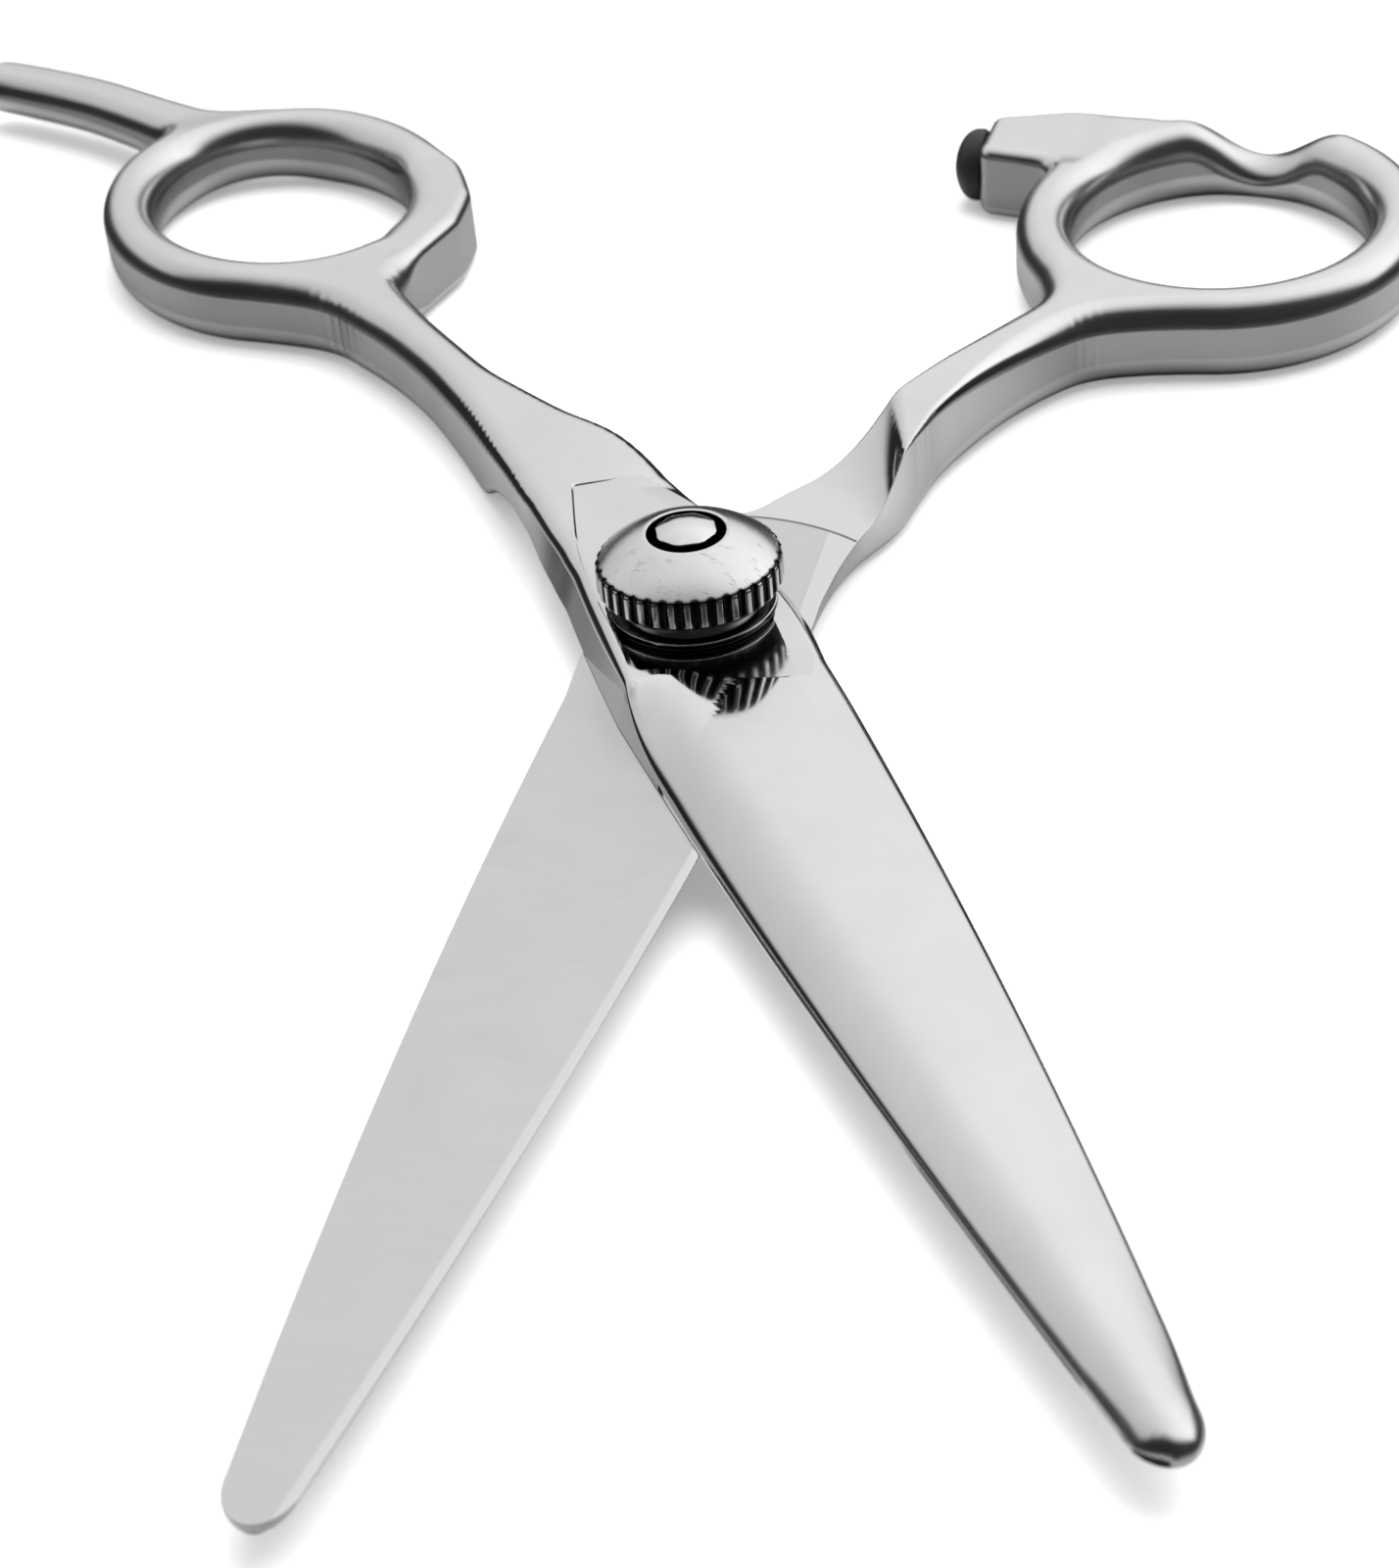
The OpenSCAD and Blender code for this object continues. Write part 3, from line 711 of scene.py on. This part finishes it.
AROUND = np.radians(np.arange(0, 360, 3.0))
CIRCLE = np.stack([np.cos(AROUND), np.sin(AROUND)], 1)


def double_d_loop(r, flat=ROUND):
    """A circle of radius r with two flats across Y, each at that distance from the centre."""
    reach = np.minimum(r, flat / np.maximum(np.abs(np.sin(AROUND)), 1e-6))
    return CIRCLE * reach[:, None]


def soften(profile, r, n=4):
    """Rounds the corners of an open profile of (radius, z) points."""
    p = np.array(profile, float)
    out = [p[0]]
    for a, b, c in zip(p, p[1:], p[2:]):
        u, v = a - b, c - b
        cut = min(r, np.linalg.norm(u) * 0.45, np.linalg.norm(v) * 0.45)
        u, v = b + u / np.linalg.norm(u) * cut, b + v / np.linalg.norm(v) * cut
        for t in np.linspace(0, 1, n):
            out.append((1 - t) ** 2 * u + 2 * t * (1 - t) * b + t * t * v)
    out.append(p[-1])
    return np.array(out)


def lathe(name, profile, place, material, count=96, shape=None):
    """A turned part from a profile of (radius, z), with the outside on the left of its way."""
    skin = Skin()
    angles = np.linspace(0, 2 * math.pi, count + 1)[:-1]
    circle = np.stack([np.cos(angles), np.sin(angles)], 1)
    rows = []
    for r, z in profile:
        radius = np.full(count, r) if shape is None else shape(angles, r)
        rows.append(np.column_stack([circle * radius[:, None], np.full(count, z)]))
    rows = np.array(rows)
    run = np.gradient(np.array(profile), axis=0)
    out = np.stack([np.outer(run[:, 1], circle[:, 0]), np.outer(run[:, 1], circle[:, 1]),
                    np.outer(-run[:, 0], np.ones(count))], -1)
    skin.grid(rows, out=out)
    return skin.build(name, place, [material])


# ---------------------------------------------------------------- where the pieces stand

def spin(p, angle):
    c, s = math.cos(angle), math.sin(angle)
    return np.column_stack([c * p[:, 0] - s * p[:, 1], s * p[:, 0] + c * p[:, 1], p[:, 2]])


def lift(p):
    return p + np.array([0, 0, PIVOT_Z])


def finger_place(p):
    return lift(spin(p, SWING))


def thumb_place(p):
    return lift(spin(p * [-1, 1, -1], -SWING))


def stack_place(p):
    """Parts of the pivot stack, which turn with the thumb half."""
    return lift(spin(p, -SWING))


def bumper_place(p):
    """Turned about a line along local X, out of the boss on the thumb half."""
    local = np.column_stack([BOSS_X - p[:, 2], BOSS_Y + p[:, 1], p[:, 0]])
    return lift(spin(local, -SWING))


# ---------------------------------------------------------------- materials

MOON_R = 14.3  # radius of the polished moon round the pivot
# Near black used for painted shade: the dial's hollows and the side of the bearing cup
PAINTED_SHADE_GREY = 0.015


class Nodes:
    """Short names for building a node material or world."""

    def __init__(self, tree):
        self.tree = tree

    def new(self, kind, **settings):
        node = self.tree.nodes.new(kind)
        for key, value in settings.items():
            setattr(node, key, value)
        return node

    def put(self, socket, value):
        if isinstance(value, bpy.types.NodeSocket):
            self.tree.links.new(value, socket)
        elif value is not None:
            socket.default_value = value

    def math(self, operation, a, b=None, c=None):
        node = self.new("ShaderNodeMath", operation=operation)
        for socket, value in zip(node.inputs, (a, b, c)):
            self.put(socket, value)
        return node.outputs[0]

    def mix(self, factor, a, b):
        node = self.new("ShaderNodeMix", data_type="RGBA")
        self.put(node.inputs[0], factor)
        self.put(node.inputs[6], a)
        self.put(node.inputs[7], b)
        return node.outputs[2]

    def blend(self, factor, a, b):
        node = self.new("ShaderNodeMix", data_type="FLOAT")
        self.put(node.inputs[0], factor)
        self.put(node.inputs[2], a)
        self.put(node.inputs[3], b)
        return node.outputs[0]

    def step(self, value, lo, hi):
        """0 below lo and 1 above hi."""
        node = self.new("ShaderNodeMapRange", interpolation_type="SMOOTHSTEP")
        for socket, v in zip(node.inputs, (value, lo, hi, 0.0, 1.0)):
            self.put(socket, v)
        return node.outputs[0]

    def below(self, value, lo, hi):
        """1 below lo and 0 above hi."""
        return self.math("SUBTRACT", 1.0, self.step(value, lo, hi))

    def split(self, vector):
        node = self.new("ShaderNodeSeparateXYZ")
        self.put(node.inputs[0], vector)
        return node.outputs

    def radius(self, x, y):
        return self.math("SQRT", self.math("ADD", self.math("MULTIPLY", x, x), self.math("MULTIPLY", y, y)))

    def scaled(self, vector, scale, rotation=0.0):
        node = self.new("ShaderNodeMapping")
        self.put(node.inputs["Vector"], vector)
        node.inputs["Scale"].default_value = scale
        node.inputs["Rotation"].default_value = (0, 0, rotation)
        return node.outputs[0]

    def noise(self, vector, scale, detail=2.0, rough=0.5, warp=0.0):
        node = self.new("ShaderNodeTexNoise")
        self.put(node.inputs["Vector"], vector)
        settings = {"Scale": scale, "Detail": detail, "Roughness": rough, "Distortion": warp}
        for name, value in settings.items():
            node.inputs[name].default_value = value
        return node.outputs["Fac"]

    def bump(self, height, strength, distance):
        node = self.new("ShaderNodeBump")
        self.put(node.inputs["Height"], height)
        node.inputs["Strength"].default_value = strength
        node.inputs["Distance"].default_value = distance * MM
        return node.outputs[0]


def material(name):
    made = bpy.data.materials.new(name)
    made.use_nodes = True
    made.node_tree.nodes.clear()
    n = Nodes(made.node_tree)
    out = n.new("ShaderNodeOutputMaterial")
    shader = n.new("ShaderNodeBsdfPrincipled")
    n.tree.links.new(shader.outputs[0], out.inputs[0])
    return made, n, shader


def millimetres(n, from_mesh=True):
    """Coordinates in millimetres: the half's own closed frame, or the row frame for a CAD node."""
    if from_mesh:
        return n.new("ShaderNodeAttribute", attribute_name="local").outputs["Vector"]
    return n.scaled(n.new("ShaderNodeTexCoord").outputs["Object"], (1 / MM,) * 3)


def grey(v, warm=0.0):
    return (v * (1 + warm), v, v * (1 - warm), 1.0)


def polished_steel(name, tone=0.66, rough=0.06, grain_turn=0.0, wear=0.3, from_mesh=True, shade=None):
    """Polished steel with hairline scratches and cloudy wear, softer in the handles and at the tip."""
    made, n, shader = material(name)
    at = millimetres(n, from_mesh)
    cloud = n.noise(at, 0.22, 3.0, 0.6)
    fine = n.noise(at, 9.0, 4.0, 0.7)
    hair = n.noise(n.scaled(at, (14.0, 0.5, 2.0), grain_turn), 1.0, 5.0, 0.75, 0.4)
    cross = n.noise(n.scaled(at, (0.6, 11.0, 2.0), grain_turn + 0.5), 1.0, 4.0, 0.75, 0.6)
    scratch = n.step(n.math("MULTIPLY", hair, cross), 0.36, 0.46)
    tint = n.mix(cloud, grey(tone * 0.93, -0.012), grey(tone * 1.05, 0.004))
    colour = n.mix(n.math("MULTIPLY", scratch, 0.25 * wear), tint, grey(tone * 1.25))
    # shade, where given, is a mask of painted shade: the colour goes to near black where it is 1
    if shade:
        colour = n.mix(shade(n, at), colour, grey(PAINTED_SHADE_GREY))
    n.put(shader.inputs["Base Color"], colour)
    y = n.split(at)[1]
    far_out = n.math("ADD", n.step(y, 20.0, 48.0), n.step(y, -45.0, -68.0))
    worn_soft = n.math("MULTIPLY_ADD", far_out, 0.15, rough - 0.03)
    r = n.math("MULTIPLY_ADD", cloud, 0.06, worn_soft)
    r = n.math("MULTIPLY_ADD", fine, 0.03, r)
    n.put(shader.inputs["Roughness"], n.math("MULTIPLY_ADD", scratch, 0.12 * wear, r))
    shader.inputs["Metallic"].default_value = 1.0
    height = n.math("MULTIPLY_ADD", fine, 0.25, n.math("MULTIPLY", hair, 0.5))
    n.put(shader.inputs["Normal"], n.bump(height, 0.10 * wear, 0.02))
    return made


def satin_steel(name):
    """The ground inner face: fine lines across the blade, a polished hone strip along the edge."""
    made, n, shader = material(name)
    at = millimetres(n)
    x, y = n.split(at)[:2]
    down = n.math("MAXIMUM", n.math("SUBTRACT", HEEL_Y, y), 0.0)
    edge = n.math("MULTIPLY_ADD", down, EDGE_SLOPE, EDGE_AT_HEEL)
    edge = n.math("MULTIPLY_ADD", n.math("MULTIPLY", down, down), EDGE_BEND, edge)
    past_heel = n.math("MAXIMUM", n.math("SUBTRACT", y, HEEL_Y), 0.0)
    edge = n.math("MULTIPLY_ADD", past_heel, 0.0475, edge)
    width = n.math("MULTIPLY_ADD", n.step(y, -14.0, 0.0), 0.35, 0.5)
    off_strip = n.step(n.math("SUBTRACT", n.math("SUBTRACT", x, edge), width), 0.0, 0.12)
    radius = n.radius(x, y)
    from_moon = n.math("MINIMUM", radius, n.math("ADD", y, 15.0))
    satin = n.math("MULTIPLY", off_strip, n.below(from_moon, MOON_R - 0.05, MOON_R + 0.1))
    line = n.math("MULTIPLY", n.step(radius, MOON_R - 0.15, MOON_R), n.step(y, 0.0, 2.0))
    line = n.math("MULTIPLY", line, n.below(radius, MOON_R + 0.05, MOON_R + 0.2))

    streak = n.noise(n.scaled(at, (0.16, 9.0, 1.0)), 1.0, 6.0, 0.72, 0.15)
    fine = n.noise(n.scaled(at, (0.5, 34.0, 1.0)), 1.0, 3.0, 0.7, 0.1)
    cloud = n.noise(n.scaled(at, (0.10, 0.16, 1.0)), 1.0, 4.0, 0.62, 0.8)
    warm = n.noise(at, 0.07, 2.0, 0.5)
    tone = n.mix(cloud, grey(0.44, 0.012), grey(0.60, 0.0))
    tone = n.mix(n.math("MULTIPLY", warm, 0.5), tone, (0.62, 0.60, 0.57, 1))
    tone = n.mix(n.math("MULTIPLY", streak, 0.5), tone, grey(0.74))
    colour = n.mix(satin, grey(0.66, -0.004), tone)
    n.put(shader.inputs["Base Color"], n.mix(line, colour, grey(0.12)))
    ground = n.math("MULTIPLY_ADD", streak, 0.14, 0.27)
    n.put(shader.inputs["Roughness"], n.blend(satin, 0.12, ground))
    shader.inputs["Metallic"].default_value = 1.0
    height = n.math("MULTIPLY", n.math("ADD", n.math("MULTIPLY", streak, 0.8), fine), satin)
    n.put(shader.inputs["Normal"], n.bump(height, 0.22, 0.02))
    return made


def painted_shade_in_hollows(n, at):
    """1 in the valleys of the knurl, under it and down the hole in the dome, where shade is painted in near
    black.
    """
    x, y, z = n.split(at)
    radius = n.radius(x, y)
    below_dome = n.below(z, KNURL_TOP - 0.15, KNURL_TOP)
    valley = n.math("MULTIPLY", below_dome, n.below(radius, DIAL_R - 0.14, DIAL_R - 0.05))
    return n.math("MAXIMUM", valley, n.below(radius, DIAL_HOLE_R + 0.01, DIAL_HOLE_R + 0.05))


def under_the_rim(n, at):
    """1 on the side of the bearing cup, where the dial's shadow is painted in near black, 0 on its top edge.
    """
    return n.below(n.split(at)[2], CUP_TOP - 0.14, CUP_TOP - 0.08)


def dial_steel(name):
    """Chromed dial: bright where it is smooth, with specks and short scratches from use."""
    made, n, shader = material(name)
    at = millimetres(n)
    speck = n.new("ShaderNodeTexVoronoi")
    n.put(speck.inputs["Vector"], at)
    speck.inputs["Scale"].default_value = 2.3
    size = n.noise(at, 1.1, 1.0)
    pit = n.math("MULTIPLY", n.below(speck.outputs["Distance"], 0.05, 0.10), n.step(size, 0.56, 0.62))
    hair = n.noise(n.scaled(at, (1.0, 9.0, 3.0), 0.7), 1.0, 5.0, 0.7, 0.8)
    scratch = n.step(n.math("MULTIPLY", hair, size), 0.33, 0.40)
    cloud = n.noise(at, 0.5, 3.0, 0.6)
    base = n.mix(cloud, grey(0.60), grey(0.70))
    base = n.mix(n.math("MAXIMUM", pit, n.math("MULTIPLY", scratch, 0.35)), base, grey(0.10))
    # Painted shade: near black in the knurl's valleys, under the knurl and down the hole in the dome
    n.put(shader.inputs["Base Color"], n.mix(painted_shade_in_hollows(n, at), base, grey(PAINTED_SHADE_GREY)))
    r = n.math("MULTIPLY_ADD", cloud, 0.12, 0.16)
    n.put(shader.inputs["Roughness"], n.math("MULTIPLY_ADD", pit, 0.4, r))
    shader.inputs["Metallic"].default_value = 1.0
    height = n.math("SUBTRACT", n.noise(at, 3.0, 3.0, 0.6), pit)
    n.put(shader.inputs["Normal"], n.bump(height, 0.18, 0.03))
    return made


def dark_steel(name):
    """Blackened spring and plate steel with a little bare metal showing through."""
    made, n, shader = material(name)
    at = millimetres(n, False)
    worn = n.step(n.noise(at, 1.8, 4.0, 0.65), 0.5, 0.75)
    n.put(shader.inputs["Base Color"], n.mix(worn, grey(0.16, -0.02), grey(0.42)))
    n.put(shader.inputs["Roughness"], n.math("MULTIPLY_ADD", worn, -0.12, 0.38))
    shader.inputs["Metallic"].default_value = 1.0
    n.put(shader.inputs["Normal"], n.bump(n.noise(at, 14.0, 3.0), 0.15, 0.02))
    return made


def moulded(name, colour, rough, from_mesh):
    """Moulded rubber or polymer: fine grain and slightly uneven sheen."""
    made, n, shader = material(name)
    at = millimetres(n, from_mesh)
    cloud = n.noise(at, 0.9, 3.0, 0.6)
    lighter = tuple(min(1.0, c * 1.5 + 0.01) for c in colour[:3]) + (1.0,)
    n.put(shader.inputs["Base Color"], n.mix(n.math("MULTIPLY", cloud, 0.6), colour, lighter))
    n.put(shader.inputs["Roughness"], n.math("MULTIPLY_ADD", cloud, 0.2, rough - 0.1))
    n.put(shader.inputs["Normal"], n.bump(n.noise(at, 11.0, 4.0, 0.7), 0.25, 0.04))
    return made


# ---------------------------------------------------------------- the pieces

# Outline of the seat round the dial
SEAT = np.concatenate([
    spline([[-5.1, -6.8], [-5.25, -3], [-5.25, 2], [-4.75, 8], [-3.1, 15.6]], 4),
    [[-0.9, 15.4], [1.2, 15.6], [3.4, 11.2], [4.2, 8.6], [4.9, 4], [5.2, -2], [5.0, -7.6], [4.1, -9.6],
     [2.8, -9.4]],
    spline([[0.4, -8.5], [-2.4, -7.5], [-5.1, -6.8]], 3)[:-1]
])[::-1]


def make_finger_half(polished, satin, floor):
    race, bush = double_d_loop(RACE_BORE), double_d_loop(BUSH_R)
    bores = [(race, SEAT_Z), (race, RACE_Z), (bush, RACE_Z), (bush, GAP)]
    finishes = [polished, satin, floor]
    return forge(FingerHalf(), bores, "finger_half_forging", finger_place, finishes, SEAT)


def make_thumb_half(polished, satin):
    pocket = double_d_loop(HEAD_R + 0.05, HEAD_FLAT + 0.03)
    journal, washer = double_d_loop(2.53), double_d_loop(4.22)
    bores = [(pocket, None), (pocket, HEAD_FLOOR), (journal, HEAD_FLOOR), (journal, WASHER_Z),
             (washer, WASHER_Z), (washer, GAP)]
    return forge(ThumbHalf(), bores, "thumb_half_forging", thumb_place, [polished, satin])


def dome_z(r):
    half_w = DIAL_R - 0.35
    rise = DOME_TOP - KNURL_TOP
    dome_r = (half_w ** 2 + rise ** 2) / (2 * rise)
    return DOME_TOP - dome_r + math.sqrt(dome_r ** 2 - r ** 2)


def fluted(angles, r):
    """Radius of the knurl: round flutes cut in from the side."""
    pitch = 2 * math.pi / FLUTES
    off = (angles + pitch / 2) % pitch - pitch / 2
    centre, cut = DIAL_R + 0.10, 0.36
    depth = np.clip(cut ** 2 - (centre * np.sin(off)) ** 2, 0, None)
    wall = np.where(depth > 0, centre * np.cos(off) - np.sqrt(depth), DIAL_R + 1)
    return smooth_min(np.full(len(angles), r), wall, 0.05)


def make_dial(steel):
    rim = [(r, dome_z(r)) for r in np.linspace(DIAL_R - 0.08, DIAL_HOLE_R + 0.17, 20)]
    profile = soften([(DIAL_BORE, DIAL_Z), (DIAL_SKIRT_R, DIAL_Z), (DIAL_SKIRT_R, KNURL_Z),
                      (DIAL_R - 0.3, KNURL_Z), (DIAL_R, KNURL_Z + 0.3), (DIAL_R, dome_z(DIAL_R) - 0.08)],
                     0.06).tolist()
    inner = soften([rim[-1], (DIAL_HOLE_R, dome_z(DIAL_HOLE_R) - 0.10), (DIAL_HOLE_R, HOLE_FLOOR),
                    (DIAL_BORE, HOLE_FLOOR), (DIAL_BORE, DIAL_Z)], 0.05)
    return lathe("tension_dial_knob", profile + rim + inner[1:].tolist(), stack_place, steel, 720, fluted)


def octagon(angles, r):
    """An eight-sided outline whose corners soften towards the centre."""
    off = (angles % (math.pi / 4)) - math.pi / 8
    flat = np.minimum(1.0, CAP_FLAT / CAP_R / np.cos(off))
    share = np.clip(r / CAP_R, 0, 1) ** 2
    return r * (1 + (flat - 1) * share)


def make_cap(steel):
    centre, foot = DOME_TOP + 0.15 - CAP_DOME_R, HOLE_FLOOR + 0.02
    dome = [(r, centre + math.sqrt(CAP_DOME_R ** 2 - r ** 2)) for r in np.linspace(CAP_R, 0.001, 14)]
    profile = soften([(0.001, foot), (CAP_R, foot), dome[0], dome[1]], 0.08).tolist()
    return lathe("cap_screw_head", profile + dome[2:], stack_place, steel, 160, octagon)


def make_cup(steel):
    neck_r, brim_z = RACE_BORE - 0.05, SEAT_Z + 0.04
    corners = [(CUP_BORE, CUP_Z), (neck_r, CUP_Z), (neck_r, brim_z), (CUP_R - 0.15, brim_z),
               (CUP_R, brim_z + 0.16), (CUP_R, CUP_TOP), (CUP_BORE, CUP_TOP), (CUP_BORE, CUP_Z)]
    profile = soften(corners, 0.08)
    return lathe("bearing_cup_rim", profile, stack_place, steel, 192)


def make_bumper(rubber):
    quarter = np.radians(np.linspace(0, 89.9, 16))
    side = [(BUMPER_R * math.cos(a), 0.7 + 1.8 * math.sin(a)) for a in quarter]
    foot = soften([(0.001, 0.02), (BUMPER_R - 0.15, 0.02), (BUMPER_R, 0.2), side[0]], 0.1)
    return lathe("stop_bumper_dome", foot.tolist() + side[1:], bumper_place, rubber, 96)


def make_bolt(steel):
    """Head with two flats let into the back, the journal, the keyed neck and the thread."""
    skin = Skin()
    bottom, thread_top = -HALF_T - 0.04, HOLE_FLOOR - 0.05
    crown = [(0.01, -0.10), (2.0, -0.075), (3.1, -0.03), (3.8, 0.0), (3.97, 0.04), (HEAD_R, 0.2)]
    stack = [(double_d_loop(r, r * HEAD_FLAT / HEAD_R), bottom + rise) for r, rise in crown]
    stack.append((stack[-1][0], -HEAD_FLOOR))
    stem = [(2.5, ROUND, -HEAD_FLOOR, 1.8), (2.3, 1.9, 1.8, 3.48), (THREAD_R, ROUND, 3.48, thread_top)]
    for r, flat, low, high in stem:
        stack += [(double_d_loop(r, flat), low), (double_d_loop(r, flat), high)]
    stack.append((double_d_loop(0.01), thread_top))
    for (a, za), (b, zb) in zip(stack, stack[1:]):
        narrowing = np.abs(a).max() - np.abs(b).max()
        out = np.column_stack([(a + b) / 2 * (zb - za), np.full(len(a), narrowing)])
        rows = [np.column_stack([loop, np.full(len(loop), z)]) for loop, z in ((a, za), (b, zb))]
        skin.grid(rows, out=out)
    return skin.build("pivot_bolt_body", stack_place, [steel])


def ride(piece, body, node):
    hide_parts(node)
    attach(piece, body)


mirror = polished_steel("mirror_steel")
ground = satin_steel("ground_steel")
# Seat floor: a rougher, more worn copy of the mirror steel; its lower tone is painted shade in the recess
seat_floor = polished_steel("seat_floor_steel", 0.62, 0.1, 0.3, 0.6)
chrome = dial_steel("dial_chrome")
bright = polished_steel("turned_steel", 0.68, 0.12, 0.0, 0.7)
# The cup steel has the dial's shadow painted on its side
cup_steel = polished_steel("cup_steel", 0.68, 0.12, 0.0, 0.7, shade=under_the_rim)
black_rubber = moulded("black_rubber", (0.012, 0.012, 0.013, 1), 0.5, True)
ivory_polymer = moulded("ivory_polymer", (0.62, 0.60, 0.52, 1), 0.45, False)
ball_finish = polished_steel("ball_steel_finish", 0.7, 0.08, 0.0, 0.3, False)
spring_finish = polished_steel("spring_steel_finish", 0.45, 0.25, 0.0, 0.8, False)
plate_finish = dark_steel("click_plate_finish")

ride(make_finger_half(mirror, ground, seat_floor), "finger_body", "finger_half")
ride(make_thumb_half(mirror, ground), "thumb_body", "thumb_half")
ride(make_dial(chrome), "dial_body", "tension_dial")
ride(make_cap(bright), "thumb_body", "cap_screw")
ride(make_cup(cup_steel), "thumb_body", "bearing_cup")
ride(make_bumper(black_rubber), "thumb_body", "stop_bumper")
ride(make_bolt(bright), "thumb_body", "pivot_bolt")

CAD_FINISHES = {
    "pivot_bush": ivory_polymer, "ride_washer": ivory_polymer, "bearing_cage": ivory_polymer,
    "bearing_balls": ball_finish, "click_balls": ball_finish, "spring_washer": spring_finish,
    "click_springs": spring_finish, "click_plate": plate_finish,
}
for node_name, finish in CAD_FINISHES.items():
    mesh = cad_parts[node_name].data
    mesh.materials.clear()
    mesh.materials.append(finish)


# ---------------------------------------------------------------- studio

def studio_world():
    """Soft light from above and behind, dark on the camera's side and in a low band all round."""
    world = bpy.data.worlds.new("studio")
    bpy.context.scene.world = world
    world.use_nodes = True
    world.node_tree.nodes.clear()
    n = Nodes(world.node_tree)
    way = n.split(n.new("ShaderNodeTexCoord").outputs["Generated"])
    turn_up = n.math("DIVIDE", n.math("ARCTAN2", way[2], way[1]), math.pi)
    ramp_node = n.new("ShaderNodeValToRGB")
    n.put(ramp_node.inputs[0], turn_up)
    stops = [(0.0, 0.70), (0.12, 1.0), (0.28, 1.15), (0.50, 1.05), (0.57, 0.8), (0.66, 0.35), (0.71, 0.04),
             (0.93, 0.03), (1.0, 0.22)]
    elements = ramp_node.color_ramp.elements
    for i, (at, value) in enumerate(stops):
        element = elements[i] if i < 2 else elements.new(at)
        element.position = at
        element.color = grey(value)
    lit = n.mix(n.step(way[2], 0.10, 0.24), grey(0.03), ramp_node.outputs[0])
    side = n.math("MULTIPLY_ADD", way[0], 0.35, 1.0)
    from_camera = n.new("ShaderNodeLightPath").outputs["Is Camera Ray"]
    background = n.new("ShaderNodeBackground")
    n.put(background.inputs[0], n.mix(from_camera, lit, grey(1.0)))
    n.put(background.inputs[1], n.blend(from_camera, side, 1.0))
    out = n.new("ShaderNodeOutputWorld")
    n.tree.links.new(background.outputs[0], out.inputs[0])


def studio_floor():
    """A wide pale sheet under the shears, a little darker in reflections than it looks."""
    mesh = bpy.data.meshes.new("floor")
    corners = [(-2, -2, 0), (2, -2, 0), (2, 2, 0), (-2, 2, 0)]
    mesh.from_pydata(corners, [], [(0, 1, 2, 3)])
    floor = bpy.data.objects.new("floor", mesh)
    bpy.context.scene.collection.objects.link(floor)
    made, n, shader = material("pale_sheet")
    path = n.new("ShaderNodeLightPath").outputs
    slant = n.split(n.new("ShaderNodeNewGeometry").outputs["Incoming"])
    floor_tone = n.mix(n.step(slant[1], -0.5, 0.5), grey(0.70), grey(0.46))
    in_steel = n.mix(n.step(slant[2], 0.22, 0.60), grey(0.02), floor_tone)
    n.put(shader.inputs["Base Color"], n.mix(path["Is Glossy Ray"], grey(0.9), in_steel))
    shader.inputs["Emission Color"].default_value = grey(1.0)
    n.put(shader.inputs["Emission Strength"], n.math("MULTIPLY", path["Is Camera Ray"], 0.35))
    shader.inputs["Roughness"].default_value = 1.0
    shader.inputs["Specular IOR Level"].default_value = 0.0
    mesh.materials.append(made)


def soft_light(name, place, size, power):
    """An area light that lights the floor and the rubber and isn't mirrored in the steel."""
    data = bpy.data.lights.new(name, "AREA")
    data.size, data.energy = size, power
    light = bpy.data.objects.new(name, data)
    light.location = place
    light.rotation_mode = "QUATERNION"
    light.rotation_quaternion = (-Vector(place)).to_track_quat("-Z", "Y")
    light.visible_glossy = False
    bpy.context.scene.collection.objects.link(light)


def close_camera():
    """Close view down onto the blades, with the tips towards the camera."""
    elevation, yaw, roll = math.radians(35.92), math.radians(2.667), math.radians(-5.57)
    level = math.cos(elevation)
    back = Vector((math.sin(yaw) * level, -math.cos(yaw) * level, math.sin(elevation)))
    right = (-back).cross(Vector((0, 0, 1))).normalized()
    up = right.cross(-back)
    right, up = (math.cos(roll) * right + math.sin(roll) * up, -math.sin(roll) * right + math.cos(roll) * up)
    data = bpy.data.cameras.new("camera")
    data.sensor_width = 36.0
    data.lens = 63.23
    data.clip_start = 0.01
    camera = bpy.data.objects.new("camera", data)
    turn_matrix = Matrix((right, up, back)).transposed()
    camera.matrix_world = Matrix.Translation((0.006065, -0.14475, 0.09649)) @ turn_matrix.to_4x4()
    data.dof.use_dof = True
    data.dof.focus_distance = 0.165
    data.dof.aperture_fstop = 80
    bpy.context.scene.collection.objects.link(camera)
    bpy.context.scene.camera = camera


studio_world()
studio_floor()
soft_light("key_light", (0.15, 0.25, 0.7), 0.8, 6.0)
close_camera()
bpy.context.scene.view_settings.view_transform = "Standard"
